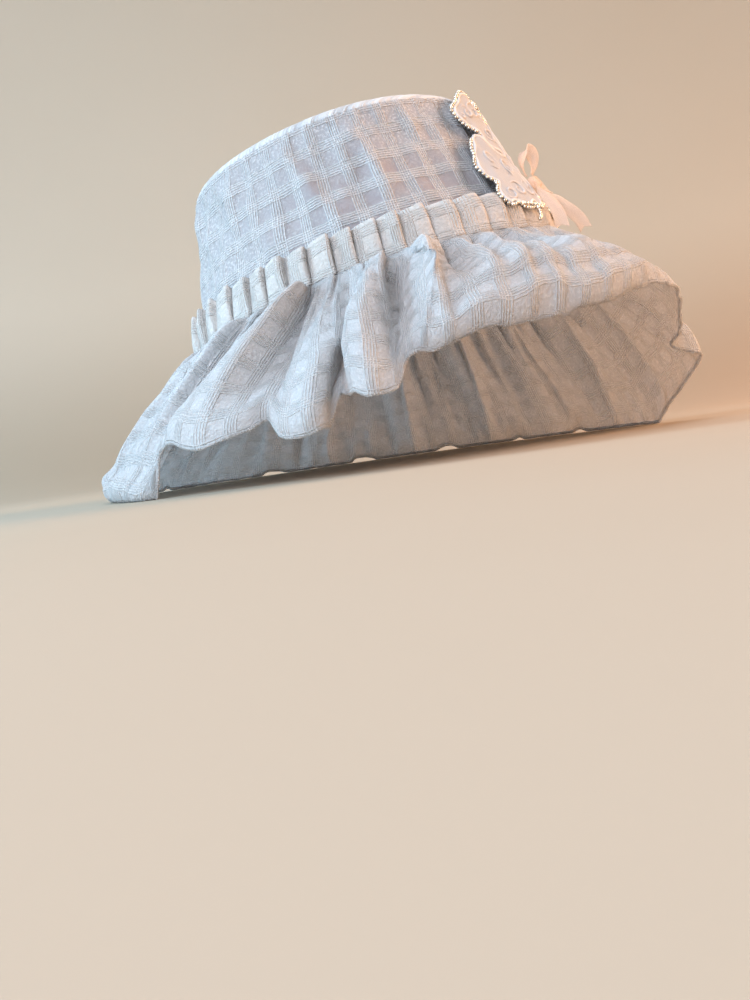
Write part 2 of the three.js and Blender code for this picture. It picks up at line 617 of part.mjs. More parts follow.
function bowKnot() {
  const { x, y, lift, across, along, deep } = BOW_KNOT;
  const sections = [];
  for (const level of KNOT_LEVELS) {
    const girth = Math.sqrt(1 - level * level);
    const ring = [];
    for (let corner = 0; corner < 8; corner += 1) {
      const angle = (Math.PI * corner) / 4;
      ring.push(appliquePoint(
        x + (across / 2) * girth * Math.cos(angle), y + along * level, lift + deep * girth * Math.sin(angle),
      ));
    }
    sections.push(ring);
  }
  return rod(
    'bow_knot', RIBBON_MATERIAL, sections,
    appliquePoint(x, y - along, lift), appliquePoint(x, y + along, lift),
  );
}

// The hat

const hat = new THREE.Group();
hat.add(crownSide(), crownTop(), crownLining(), headerFrill(), brim());
hat.add(appliqueBody());
const WING_PAIRS = [
  { pair: 'upper', table: UPPER_PANEL, beadsFrom: 0.2, beadsTo: 0.78 },
  { pair: 'lower', table: LOWER_PANEL, beadsFrom: 0.24, beadsTo: 0.84 },
];
for (const [place, side] of [['near', -1], ['far', 1]]) {
  for (const { pair, table, beadsFrom, beadsTo } of WING_PAIRS) {
    hat.add(panel(`wing_${pair}_${place}`, table, side));
    hat.add(beadString(`beads_${pair}_${place}`, table, side, beadsFrom, beadsTo));
  }
}
const onKnot = (lift) => appliquePoint(BOW_KNOT.x, BOW_KNOT.y, lift);
const faceDirection = new THREE.Vector3().subVectors(onKnot(1), onKnot(0)).normalize();
hat.add(ribbon('bow_loop_upper', BOW_LOOP_UPPER, 14, faceDirection, true));
hat.add(ribbon('bow_loop_lower', BOW_LOOP_LOWER, 14, faceDirection, true));
hat.add(ribbon('bow_tail_long', BOW_TAIL_LONG, 8, faceDirection, false));
hat.add(ribbon('bow_tail_short', BOW_TAIL_SHORT, 8, faceDirection, false));
hat.add(bowKnot());

export default hat;
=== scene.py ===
"""Ruffled sun hat of check gauze with a beaded butterfly applique, at rest on the lobes of its brim.
Lengths below are in millimetres; the meshes are written in metres. The hat's front is towards -Y."""
import math

import bpy
import numpy as np
from mathutils import Matrix, Vector


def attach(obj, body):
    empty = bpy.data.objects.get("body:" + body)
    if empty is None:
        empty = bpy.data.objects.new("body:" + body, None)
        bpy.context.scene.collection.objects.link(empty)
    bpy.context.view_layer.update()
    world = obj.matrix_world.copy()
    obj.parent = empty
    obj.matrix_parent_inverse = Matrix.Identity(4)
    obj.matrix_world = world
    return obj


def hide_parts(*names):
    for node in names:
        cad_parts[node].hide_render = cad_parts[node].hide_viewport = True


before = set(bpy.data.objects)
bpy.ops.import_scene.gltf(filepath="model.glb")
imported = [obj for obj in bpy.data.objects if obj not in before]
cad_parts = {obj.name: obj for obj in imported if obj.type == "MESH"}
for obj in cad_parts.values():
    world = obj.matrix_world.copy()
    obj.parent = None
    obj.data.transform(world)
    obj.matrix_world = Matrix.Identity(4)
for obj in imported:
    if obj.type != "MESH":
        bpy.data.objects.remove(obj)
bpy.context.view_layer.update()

MM = 0.001
BAND_EXTRA_Y = 6.0
BAND_HEIGHT = 79.7
LEAN = math.radians(13.5)
PLEATS = 48
# Directions of the heading's valleys, the first ones as in the photo, the others evenly apart
SEEN_VALLEYS = [
    -107.5, -98.1, -89.9, -83.6, -76.3, -69.3, -61.8, -55.5, -48.2, -42, -33.3, -24.6, -16, -8.2, -0.5,
]
VALLEYS = np.concatenate([SEEN_VALLEYS, np.linspace(-0.5, 252.5, PLEATS - len(SEEN_VALLEYS) + 2)[1:]])
FRILL_HEIGHT = 18.5
# The weave's check: its size, the share of it that the corded band takes, and the cords in a band
CHECK = 13.5
BAND_SHARE = 0.45
CORDS = 5
CHECKS_AROUND = 40
DEGREES_PER_CHECK = 360.0 / CHECKS_AROUND
CROWN_CHECK_HEIGHT = 13.7
# From the start of a check to the middle of its window, and where one window's middle is on the crown
WINDOW_MIDDLE = (1 + BAND_SHARE) / 2
WINDOW_DEG = -54.0
WINDOW_HEIGHT = 31.0
# X and Y shares of how far to the right a place is, about as the camera sees the hat
SIDEWAYS = (0.634, -0.76)

CROWN_PROFILE = np.array([(0, 92), (20, 85.5), (40, 79.8), (60, 75.2), (78.6, 71.4)], float)
TOP_PROFILE = np.array([
    (78.6, 71.4), (80.6, 71.0), (82.6, 69.0), (84.2, 65), (85.6, 55), (86.2, 42), (86.5, 28), (86.8, 0),
], float)
# Shallow dents of the crown: waves around, depth in mm, shift in radians
DENT_WAVES = ((3, 0.9, 0.6), (5, 0.5, -1.1))
# Soft folds of the crown cloth: direction at the foot and at the top, width in degrees, height in mm
CROWN_FOLDS = np.array([
    (-52, -71, 3.4, 1.8), (-62, -80, 3.0, -1.2), (-84, -76, 3.5, 1.1), (-100, -92, 4, 1.3),
    (-112, -118, 3, -1.2), (-128, -122, 4, 1.4), (-38, -44, 2.6, 1.0), (-30, -36, 2.6, -0.9),
    (-14, -22, 3, 1.0), (8, 2, 4, 1.1), (40, 34, 4, 1.2), (62, 70, 3, -1.0), (88, 80, 4, 1.3),
    (120, 128, 4, 1.2), (150, 144, 3, -1.1), (176, 182, 5, 1.3),
], float)

# Brim folds: direction at the stitch line and at the hem in degrees, hem radius and height in mm, then
# how far the inner half folds and the outer half rolls up. The front rows follow the photo more closely
# than the CAD part's.
BRIM_FOLDS = np.array([
    (-176, -176, 156, -7, 0, 3), (-166, -168, 153, 4, -3, 2), (-157, -160, 157, -7, 3, 3),
    (-147, -151, 154, 2, -2, 2), (-137, -142, 152, 5, 3, 2), (-127, -133, 153, 1, -3, 3),
    (-117, -125, 152, -7, 3, 4), (-106, -116, 153, -8, -1, 4), (-94, -108, 153, -8, 5, 3),
    (-86, -102, 151, 2, 2, 1), (-80, -97, 149, 24, -5, 0), (-76, -92, 154, 27, 0, 4),
    (-71, -84, 158, 23, 5, 5), (-69, -76, 154, 27, -3, 0), (-67.5, -72.5, 149, 31, -2, 0),
    (-66, -69, 156, 24, 2, 4), (-63.5, -64.5, 160, 22, 3, 5), (-61, -62, 155, 24, 2, 3),
    (-59, -59, 146, 36, 0, -3), (-56, -56.5, 156, 36, 2, 3), (-53, -53, 163, 32, 4, 5),
    (-50, -50, 161, 36, 3, 3), (-46.5, -47.5, 153, 46, -6, -1), (-43.5, -45, 154, 49, 1, 3),
    (-39, -41.5, 156, 49, 11, 7), (-36, -38.5, 157, 51, 2, 9), (-33, -35, 157, 53, -9, 12),
    (-28, -29, 157, 52, -3, 16), (-24, -25, 157, 54, -7, 17), (-20, -21, 157, 54, -2, 17),
    (-15, -17, 158, 55, -7, 16), (-11, -12, 159, 58, -2, 14), (-6, -6, 159, 63, -7, 11),
    (1, 1, 159, 67, -1, 6), (9, 10, 158, 67, 0, 3), (17, 18, 155, 58, 0, 3), (25, 26, 152, 47, 3, 4),
    (31, 31, 147, 41, -4, 0), (38, 37, 163, 34, 3, 4), (46, 46, 160, 22, -2, 4), (54, 55, 158, 9, 3, 3),
    (61, 63, 158.5, -7, 0, 3), (69, 73, 158, -7, 3, 3), (79, 82, 153, 5, -4, 2), (88, 90, 158, -3, 3, 3),
    (97, 99, 154, 5, -3, 2), (106, 108, 158, -7, 3, 3), (116, 117, 153, 5, -3, 2),
    (127, 127, 157, -6, 3, 3),
    (138, 137, 153, 5, -3, 2), (149, 148, 158, -7, 3, 3), (160, 159, 153, 5, -3, 2),
    (172, 172, 159, -6, 2, 3),
], float)

UPPER_PANEL = np.array([
    (2.6, 1.5), (2.6, 16), (4, 28), (7.5, 36.5), (13.5, 37.5), (20.5, 33.5), (27, 28.5), (32.5, 24.5),
    (33, 20.5), (29, 16.8), (24.5, 14.6), (21.5, 11.2), (20.5, 7.5), (15, 4), (8, 2),
], float)
LOWER_PANEL = np.array([
    (2.6, -1.5), (12, 0), (20, 4.8), (27.5, 9.6), (34, 4.5), (40, -5), (44.5, -11), (44, -16),
    (39.5, -20), (42, -24.5), (45.5, -29), (43, -33), (37, -31.5), (32, -34), (26, -34), (20, -30.5),
    (13, -32), (7, -28), (3.4, -16),
], float)
APPLIQUE_DEG = 20.0
APPLIQUE_HEIGHT = 44.0
CROWN_SLOPE = math.atan2(92 - 71.4, 78.6)

# Ribbon routes: across, up and out from the applique's panels
BOW_ROUTES = {
    "bow_loop_upper": [(7.6, -9.6, 2.2), (7, -5, 3.6), (7, 0, 6.5), (8, 3.5, 10), (11, 2, 11.5),
        (12, -3, 9.5), (9.6, -9.2, 5)],
    "bow_loop_lower": [(11.2, -13, 2.4), (17, -11, 3.4), (24, -9, 5), (28, -13, 6.5), (24, -16.5, 7),
        (17, -16.5, 6), (11.4, -15, 4.4)],
    "bow_tail_long": [(8.4, -18.4, 3.4), (10.5, -23, 5), (13, -29, 7.5), (15, -34, 9.5),
        (17, -39, 10.5), (18, -43.5, 10)],
    "bow_tail_short": [(4.8, -15.6, 3.4), (0, -22, 4), (-4, -30, 4.5), (-7, -38, 4), (-9, -45, 2)],
}
# The knot's middle: across, up and out
KNOT_X = 8
KNOT_Y = -14
KNOT_LIFT = 3.4


# Shape helpers

def smooth(t):
    c = np.clip(t, 0, 1)
    return c * c * (3 - 2 * c)


def grid_uv(u, v):
    """Cloth coordinates of a grid, columns by rows."""
    return np.stack(np.meshgrid(u, v, indexing="ij"), -1)


def run_length(points):
    """Distance along a row of points, from 0."""
    return np.concatenate([[0], np.cumsum(np.linalg.norm(np.diff(points, axis=0), axis=-1))])


def ring_angles(count):
    return np.arange(count) * 2 * math.pi / count


def hat_point(x, y, height):
    """A point of the upright hat, leaned back and lifted to where it rests."""
    x, y, height = np.broadcast_arrays(np.asarray(x, float), np.asarray(y, float), np.asarray(height, float))
    return np.stack([
        x,
        y * math.cos(LEAN) + height * math.sin(LEAN),
        -y * math.sin(LEAN) + height * math.cos(LEAN) + BAND_HEIGHT,
    ], -1)


def oval_point(radius, degrees, height):
    angle = np.radians(degrees)
    return hat_point(radius * np.sin(angle), -(radius + BAND_EXTRA_Y) * np.cos(angle), height)


def crown_radius(height):
    """The crown wall's outside half width, with its slope carried on past both ends."""
    inside = np.interp(height, CROWN_PROFILE[:, 0], CROWN_PROFILE[:, 1])
    low = CROWN_PROFILE[1] - CROWN_PROFILE[0]
    high = CROWN_PROFILE[-1] - CROWN_PROFILE[-2]
    below = np.minimum(np.asarray(height) - CROWN_PROFILE[0, 0], 0) * low[1] / low[0]
    above = np.maximum(np.asarray(height) - CROWN_PROFILE[-1, 0], 0) * high[1] / high[0]
    return inside + below + above


def crown_dent(degrees, height):
    full = sum(depth * np.sin(waves * np.radians(degrees) + shift) for waves, depth, shift in DENT_WAVES)
    return full * (np.asarray(height) / CROWN_PROFILE[-1, 0])


def hashed(numbers, seed):
    """Repeatable values from 0 to 1, one for each number."""
    return np.modf(np.abs(np.sin(np.asarray(numbers, float) * 12.9898 + seed * 78.233) * 43758.5453))[0]


def grid_faces(columns, rows, close_columns, close_rows=False):
    """The faces of a grid of points, and the column and the row where each one starts."""
    across = columns if close_columns else columns - 1
    down = rows if close_rows else rows - 1
    i, k = np.meshgrid(np.arange(across), np.arange(down), indexing="ij")
    j, n = (i + 1) % columns, (k + 1) % rows
    faces = np.stack([i * rows + k, j * rows + k, j * rows + n, i * rows + n], -1).reshape(-1, 4)
    return faces, i, k


def grid_mesh(name, points, uv, material, close_columns, solid=0.0, close_rows=False):
    """A mesh from a grid of points, columns by rows. Where it closes, uv holds one more column, or row,
    than points."""
    columns, rows = points.shape[:2]
    faces, i, k = grid_faces(columns, rows, close_columns, close_rows)
    corner_uv = np.stack([uv[i, k], uv[i + 1, k], uv[i + 1, k + 1], uv[i, k + 1]], -2).reshape(-1, 2)
    mesh = bpy.data.meshes.new(name)
    mesh.vertices.add(columns * rows)
    mesh.vertices.foreach_set("co", (points.reshape(-1, 3) * MM).astype(np.float32).ravel())
    mesh.loops.add(len(faces) * 4)
    mesh.loops.foreach_set("vertex_index", faces.ravel().astype(np.int32))
    mesh.polygons.add(len(faces))
    mesh.polygons.foreach_set("loop_start", (np.arange(len(faces)) * 4).astype(np.int32))
    mesh.polygons.foreach_set("use_smooth", np.ones(len(faces), bool))
    layer = mesh.uv_layers.new(name="weave")
    layer.data.foreach_set("uv", corner_uv.astype(np.float32).ravel())
    mesh.update(calc_edges=True)
    mesh.validate()
    return finish_piece(name, mesh, material, solid)


def plain_mesh(name, points, faces):
    """A smooth mesh without cloth coordinates, from points in millimetres."""
    mesh = bpy.data.meshes.new(name)
    mesh.from_pydata((points * MM).tolist(), [], faces)
    mesh.polygons.foreach_set("use_smooth", np.ones(len(mesh.polygons), bool))
    mesh.update()
    return mesh


def linked(name, data):
    made = bpy.data.objects.new(name, data)
    bpy.context.scene.collection.objects.link(made)
    return made


def finish_piece(name, mesh, material, solid=0.0):
    """A piece of the hat from a mesh; solid is the cloth's thickness in mm."""
    piece = linked(name, mesh)
    mesh.materials.append(material)
    if solid:
        thick = piece.modifiers.new("cloth", "SOLIDIFY")
        thick.thickness = solid * MM
        thick.offset = 0.0
        thick.use_quality_normals = True
    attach(piece, "root")
    return piece


def normals_of(points, close_columns):
    """Unit normals of a grid of points, columns by rows."""
    if close_columns:
        across = np.roll(points, -1, 0) - np.roll(points, 1, 0)
    else:
        across = np.gradient(points, axis=0)
    down = np.gradient(points, axis=1)
    normal = np.cross(across, down)
    return normal / np.maximum(np.linalg.norm(normal, axis=-1, keepdims=True), 1e-9)


# Materials

class Nodes:
    """A small helper that adds nodes to one material."""

    def __init__(self, name):
        self.material = bpy.data.materials.new(name)
        self.material.use_nodes = True
        self.tree = self.material.node_tree
        self.tree.nodes.clear()

    def add(self, kind, inputs=None, **settings):
        node = self.tree.nodes.new("ShaderNode" + kind)
        for key, value in settings.items():
            setattr(node, key, value)
        for key, value in (inputs or {}).items():
            self.put(node.inputs[key], value)
        return node

    def put(self, socket, value):
        if isinstance(value, bpy.types.NodeSocket):
            self.tree.links.new(value, socket)
        elif hasattr(socket.default_value, "__len__") and not isinstance(value, (int, float)):
            size = len(socket.default_value)
            socket.default_value = tuple(value) + (1.0,) * (size - len(value))
        else:
            socket.default_value = value

    def math(self, operation, a, b=0.0, c=0.0, clamp=False):
        node = self.add("Math", operation=operation, use_clamp=clamp)
        for socket, value in zip(node.inputs, (a, b, c)):
            self.put(socket, value)
        return node.outputs[0]

    def step(self, value, low, high, to_low=0.0, to_high=1.0):
        node = self.add("MapRange", {
            "Value": value, "From Min": low, "From Max": high, "To Min": to_low, "To Max": to_high,
        }, interpolation_type="SMOOTHSTEP")
        return node.outputs[0]

    def mix(self, factor, a, b):
        node = self.add("Mix", data_type="RGBA")
        self.put(node.inputs["Factor"], factor)
        self.put(node.inputs[6], a)
        self.put(node.inputs[7], b)
        return node.outputs[2]

    def noise(self, vector, scale, detail=2.0):
        node = self.add("TexNoise", {"Vector": vector, "Scale": scale, "Detail": detail})
        return node.outputs["Fac"]

    def wave(self, vector, scale, direction, distortion=1.0, detail=1.0):
        """Fine parallel lines, as threads or strands make."""
        lines = {"Vector": vector, "Scale": scale, "Distortion": distortion, "Detail": detail}
        return self.add("TexWave", lines, wave_type="BANDS", bands_direction=direction).outputs["Fac"]

    def bump(self, height, strength, distance):
        return self.add("Bump", {"Height": height, "Strength": strength, "Distance": distance}).outputs[0]

    def blend(self, share, first, second):
        return self.add("MixShader", {0: share, 1: first, 2: second}).outputs[0]

    def behind(self, colour, bump):
        return self.add("BsdfTranslucent", {"Color": colour, "Normal": bump}).outputs[0]

    def clear(self):
        return self.add("BsdfTransparent").outputs[0]

    def sideways(self, split):
        """How far to the right a place is, from its separated X and Y."""
        across = self.math("MULTIPLY", split.outputs[0], SIDEWAYS[0])
        return self.math("MULTIPLY_ADD", split.outputs[1], SIDEWAYS[1], across)

    def surface(self, shader):
        out = self.add("OutputMaterial")
        self.tree.links.new(shader, out.inputs["Surface"])
        return self.material


def check_gauze(name, cord, gap, window, open_window, through, soft, painted_light_fill=0.0, dense=0.0):
    """Gauze with bands of raised cords both ways and thin windows between them, by cloth coordinates.

    cord, gap and window are colours; gap and window are darker than cord as painted shade, the shade between
    the cords and behind the thin windows. open_window is how much cloth a window holds, through is the share
    of light that passes, soft is how softly the bands end, painted_light_fill is how far the windows on the
    crown's left, the side the window lamp lights, and near its top are filled, as painted light, and dense
    is how far every window is.
    """
    n = Nodes(name)
    uv = n.add("UVMap", uv_map="weave").outputs[0]
    wobble = n.add("TexNoise", {"Vector": uv, "Scale": 0.9, "Detail": 2.0}).outputs["Color"]
    shift = n.add("VectorMath", {0: wobble, 1: (0.5, 0.5, 0.5)}, operation="SUBTRACT").outputs[0]
    shift = n.add("VectorMath", {0: shift, 3: 0.085}, operation="SCALE").outputs[0]
    moved = n.add("VectorMath", {0: uv, 1: shift}, operation="ADD").outputs[0]
    split = n.add("SeparateXYZ", {0: moved})
    ridges, bands = [], []
    for axis in (0, 1):
        place = n.math("FRACT", split.outputs[axis])
        middle = n.math("ABSOLUTE", n.math("SUBTRACT", place, BAND_SHARE / 2))
        band = n.step(middle, BAND_SHARE / 2 - soft, BAND_SHARE / 2 + soft, 1.0, 0.0)
        wave = n.math("COSINE", n.math("MULTIPLY", place, 2 * math.pi * CORDS / BAND_SHARE))
        ridge = n.math("POWER", n.math("MULTIPLY_ADD", wave, -0.5, 0.5), 1.5)
        ridges.append(n.math("MULTIPLY", ridge, band))
        bands.append(band)
    ridge = n.math("MAXIMUM", ridges[0], ridges[1])
    band = n.math("MAXIMUM", bands[0], bands[1])
    cross = n.math("MULTIPLY", bands[0], bands[1])
    fine = n.math("MULTIPLY", n.wave(moved, 9.0, "X", 1.5), n.wave(moved, 10.0, "Y", 1.5))
    cloudy = n.noise(uv, 0.55, 3.0)
    fuzz = n.noise(uv, 26.0, 2.0)
    speck = n.noise(uv, 10.0, 3.0)
    filled = n.math("MULTIPLY_ADD", fine, 0.3, n.step(cloudy, 0.42, 0.72, dense, 0.75), clamp=True)
    # Painted light: the windows on the crown's left, which the window lamp lights, and near its top, under
    # the lamp above, are filled as if washed out by the light.
    if painted_light_fill:
        place = n.add("SeparateXYZ", {0: n.add("TexCoord").outputs["Object"]})
        uneven = n.math("SUBTRACT", cloudy, 0.5)
        aside = n.step(n.math("MULTIPLY_ADD", uneven, 0.12, n.sideways(place)), -0.075, -0.02, painted_light_fill, 0.0)
        high = n.step(n.math("MULTIPLY_ADD", uneven, 0.06, place.outputs[2]), 0.125, 0.16, 0.0, painted_light_fill)
        filled = n.math("MAXIMUM", filled, n.math("MAXIMUM", aside, high))
    # Painted shade: the band between the cords takes the darker gap colour and the windows the darker window
    # colour, for the shade between the cords and behind the thin cloth.
    thin = n.mix(filled, window, gap)
    cloth = n.mix(band, thin, gap)
    fluff = n.math("MULTIPLY", filled, n.step(speck, 0.45, 0.7, 0.0, 0.7))
    # Painted light and shade of the cords: their tops take the cord colour while the gaps between them stay
    # darker.
    bright = n.math("MULTIPLY", ridge, n.step(speck, 0.32, 0.6, 0.35, 1.0))
    colour = n.mix(n.math("MAXIMUM", bright, fluff), cloth, cord)
    height = n.math("MULTIPLY_ADD", fine, 0.12, n.math("MULTIPLY", ridge, n.step(speck, 0.3, 0.7, 0.6, 1.0)))
    height = n.math("MULTIPLY_ADD", cross, 0.25, height)
    height = n.math("MULTIPLY_ADD", n.noise(uv, 2.4, 3.0), 0.9, height)
    height = n.math("MULTIPLY_ADD", speck, 1.3, height)
    height = n.math("MULTIPLY_ADD", fuzz, 0.35, height)
    bump = n.bump(height, 1.0, 0.0008)
    rough = n.step(fuzz, 0.2, 0.8, 0.78, 0.96)
    held = n.math("MULTIPLY_ADD", n.math("MAXIMUM", band, filled), 0.9 - open_window, open_window)
    cover = n.math("MAXIMUM", held, ridge, clamp=True)
    front = n.add("BsdfPrincipled", {
        "Base Color": colour, "Roughness": rough, "Normal": bump, "Specular IOR Level": 0.25,
        "Sheen Weight": 0.25, "Sheen Roughness": 0.5,
    }).outputs[0]
    both = n.blend(through, front, n.behind(colour, bump))
    return n.surface(n.blend(cover, n.clear(), both))


def woven(name, light, dark, thread_scale, through=0.0, sheen=0.2, cover=1.0):
    """Plain woven cloth with fine threads both ways."""
    n = Nodes(name)
    uv = n.add("UVMap", uv_map="weave").outputs[0]
    weave = n.math("MULTIPLY", n.wave(uv, thread_scale, "X"), n.wave(uv, thread_scale, "Y"))
    cloudy = n.noise(uv, 0.8, 3.0)
    colour = n.mix(n.math("MULTIPLY_ADD", weave, 0.5, n.math("MULTIPLY", cloudy, 0.5)), dark, light)
    height = n.math("MULTIPLY_ADD", weave, 0.4, n.noise(uv, 3.0, 3.0))
    bump = n.bump(height, 0.6, 0.0003)
    shader = n.add("BsdfPrincipled", {
        "Base Color": colour, "Roughness": n.step(weave, 0.0, 1.0, 0.85, 0.7), "Normal": bump,
        "Sheen Weight": sheen, "Specular IOR Level": 0.3,
    }).outputs[0]
    if through:
        shader = n.blend(through, shader, n.behind(colour, bump))
    if cover < 1:
        share = n.step(weave, 0.0, 1.0, cover - 0.12, cover + 0.12)
        shader = n.blend(share, n.clear(), shader)
    return n.surface(shader)


def satin_thread(name, light, dark):
    """Embroidery floss, shiny along its strands."""
    n = Nodes(name)
    place = n.add("TexCoord").outputs["Object"]
    strands = n.wave(place, 900.0, "DIAGONAL", 4.0, 2.0)
    cloudy = n.math("MULTIPLY", n.noise(place, 90.0), 0.4)
    colour = n.mix(n.math("MULTIPLY_ADD", strands, 0.6, cloudy), dark, light)
    bump = n.bump(strands, 0.6, 0.0002)
    return n.surface(n.add("BsdfPrincipled", {
        "Base Color": colour, "Roughness": n.step(strands, 0, 1, 0.5, 0.34), "Normal": bump,
        "Sheen Weight": 0.2,
    }).outputs[0])


def bead_metal(name, light, dark, roughness):
    n = Nodes(name)
    place = n.add("TexCoord").outputs["Object"]
    spots = n.noise(place, 420.0, 1.0)
    colour = n.mix(n.step(spots, 0.35, 0.65), dark, light)
    bump = n.bump(n.noise(place, 1500.0), 0.25, 0.0001)
    return n.surface(n.add("BsdfPrincipled", {
        "Base Color": colour, "Metallic": 0.85, "Normal": bump, "Coat Weight": 0.5, "Coat Roughness": 0.08,
        "Roughness": n.step(spots, 0.3, 0.7, roughness, roughness + 0.16),
    }).outputs[0])


# Each gauze's gap and window colours are painted shade, darker than its cords.
GAUZE_CROWN = check_gauze(
    "check_gauze_crown", (0.93, 0.905, 0.89), (0.47, 0.455, 0.465), (0.50, 0.45, 0.46),
    # painted light: windows filled on the crown's lit left and near its top
    0.62, 0.2, 0.05, painted_light_fill=0.85,
)
# Painted shade: the top panel's gauze is a darker copy of the crown's, toning down the top, which faces the
# lamp above.
GAUZE_TOP = check_gauze(
    "check_gauze_top", (0.72, 0.71, 0.70), (0.46, 0.45, 0.465), (0.54, 0.51, 0.525),
    0.62, 0.2, 0.05, dense=0.5,
)
# Painted shade: the heading's gauze is a warmer, darker copy of the brim's, the warm shade on the gathered
# heading.
GAUZE_HEADING = check_gauze(
    "check_gauze_heading", (0.94, 0.90, 0.86), (0.74, 0.70, 0.66), (0.74, 0.69, 0.65),
    0.92, 0.34, 0.05, dense=0.6,
)
GAUZE_BRIM = check_gauze(
    "check_gauze_brim", (0.99, 0.985, 0.98), (0.71, 0.71, 0.715), (0.74, 0.73, 0.74),
    0.9, 0.46, 0.05, dense=0.6,
)
# Painted shade: the white lining is coloured a darker greyish pink, the shade inside the crown seen through
# the windows.
LINING = woven("lining_cloth", (0.64, 0.59, 0.58), (0.58, 0.54, 0.53), 16.0, through=0.1)
ORGANZA = woven("panel_organza", (0.54, 0.545, 0.565), (0.49, 0.495, 0.51), 22.0, through=0.15)
RIBBON = woven(
    "sheer_ribbon", (0.95, 0.84, 0.76), (0.90, 0.75, 0.64), 26.0, through=0.45, sheen=0.3, cover=0.72,
)
FLOSS = satin_thread("peach_floss", (0.60, 0.565, 0.555), (0.53, 0.495, 0.48))
WHITE_FLOSS = satin_thread("white_floss", (0.70, 0.695, 0.70), (0.62, 0.61, 0.62))
BEADS = bead_metal("bead_champagne", (0.84, 0.80, 0.73), (0.52, 0.46, 0.38), 0.14)


# Crown

CHECK_STOPS = np.array([0.0, 0.05, 0.15, 0.3, 0.4, 0.45, 0.64, 0.82])
RELIEF = np.array([0.0, 1.0, 1.0, 1.0, 1.0, 0.0, 0.0, 0.0])
RELIEF_MM = 0.18


def check_places(first, last):
    """Places in checks from first to last, with close pairs at the edges of the bands, and their relief."""
    wholes = np.arange(math.floor(first) - 1, math.ceil(last) + 1)
    places = (wholes[:, None] + CHECK_STOPS[None, :]).ravel()
    relief = np.tile(RELIEF, len(wholes))
    keep = (places > first + 1e-6) & (places < last - 1e-6)
    return places[keep], relief[keep]


def crown_v(height):
    """Checks up the crown at a height."""
    return float((height - WINDOW_HEIGHT) / CROWN_CHECK_HEIGHT + WINDOW_MIDDLE)


def crown_side():
    u, relief_u = check_places(0.0, CHECKS_AROUND)
    u = np.concatenate([[0.0], u])
    relief_u = np.concatenate([[0.0], relief_u])
    degrees = (u - WINDOW_MIDDLE) * DEGREES_PER_CHECK + WINDOW_DEG
    low, high = crown_v(-2.0), crown_v(78.9)
    v, relief_v = check_places(low, high)
    v = np.concatenate([[low], v, [high]])
    relief_v = np.concatenate([[0.0], relief_v, [0.0]])
    height = (v - WINDOW_MIDDLE) * CROWN_CHECK_HEIGHT + WINDOW_HEIGHT
    d, h = np.meshgrid(degrees, height, indexing="ij")
    turn = np.radians(d)
    relief = np.maximum(relief_u[:, None], relief_v[None, :]) * RELIEF_MM
    loose = smooth((h - 16) / 16) * smooth((79 - h) / 14)
    slack = 1.1 * np.sin(turn * 13 + h / 16.0 + 1.3 * np.sin(h / 17.0 + turn * 2))
    slack += 0.7 * np.sin(turn * 29 - h / 11.0 + 0.5 * np.sin(turn * 5))
    slack += 0.35 * np.sin(turn * 47 + h / 5.0) + 0.3 * np.sin(turn * 9 + h / 4.0)
    for foot, top, width, tall in CROWN_FOLDS:
        apart = np.mod(d - (foot + (top - foot) * h / 80) + 180, 360) - 180
        slack += tall * 1.3 * np.exp(-(apart / width) ** 2)
    slack = np.maximum(slack, -1.3) * loose
    pucker = 0.35 * np.sin(turn * 96 + 0.6 * np.sin(d)) * smooth((h - 70) / 8)
    radius = crown_radius(h) + crown_dent(d, h) - 0.5 + relief + slack * 0.85 + pucker
    points = oval_point(radius, d, h)
    wrapped = np.concatenate([u, [u[0] + CHECKS_AROUND]])
    uv = grid_uv(wrapped, v)
    piece = grid_mesh("crown_side_cloth", points, uv, GAUZE_CROWN, True, solid=0.5)
    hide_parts("crown_side")


# How far towards its middle the top panel goes, as a share of its length
TOP_REACH = 0.992
# Where the top panel's checks start, across and along
TOP_CHECKS = (50.1, 50.2)


def crown_top():
    columns = 288
    degrees = np.arange(columns) * 360.0 / columns
    along = np.linspace(0, 1, 46)
    lengths = run_length(TOP_PROFILE)
    wanted = along * lengths[-1] * TOP_REACH
    height = np.interp(wanted, lengths, TOP_PROFILE[:, 0])
    radius = np.interp(wanted, lengths, TOP_PROFILE[:, 1])
    for _ in range(3):
        height[1:-1] = (height[:-2] + 2 * height[1:-1] + height[2:]) / 4
        radius[1:-1] = (radius[:-2] + 2 * radius[1:-1] + radius[2:]) / 4
    d, h = np.meshgrid(degrees, height, indexing="ij")
    r = np.broadcast_to(radius, d.shape)
    share = r / TOP_PROFILE[0, 1]
    pucker = 0.3 * np.sin(np.radians(d) * 96 + 0.6 * np.sin(d)) * np.exp(-((1 - share) / 0.05) ** 2)
    dent = crown_dent(d, 79.0) * share
    points = oval_point(r + dent - 0.4 + pucker, d, h - 0.3)
    flat_x = r * np.sin(np.radians(d)) / CHECK
    flat_y = -(r + BAND_EXTRA_Y * share) * np.cos(np.radians(d)) / CHECK
    band_x, band_y = (
        np.abs(np.modf(flat + start)[0] - BAND_SHARE / 2) < BAND_SHARE / 2
        for flat, start in zip((flat_x, flat_y), TOP_CHECKS)
    )
    lift = np.where(band_x | band_y, RELIEF_MM * 0.6, 0.0) * (share < 0.96)
    points[..., 2] += lift
    rim = share > 0.92
    across = np.where(rim, math.floor(TOP_CHECKS[0]) + BAND_SHARE / 2, flat_x + TOP_CHECKS[0])
    uv = np.stack([across, flat_y + TOP_CHECKS[1]], -1)
    uv = np.concatenate([uv, uv[:1]], 0)
    piece = grid_mesh("crown_top_cloth", points, uv, GAUZE_TOP, True, solid=0.5)
    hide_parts("crown_top")


LINING_INSET = 2.2


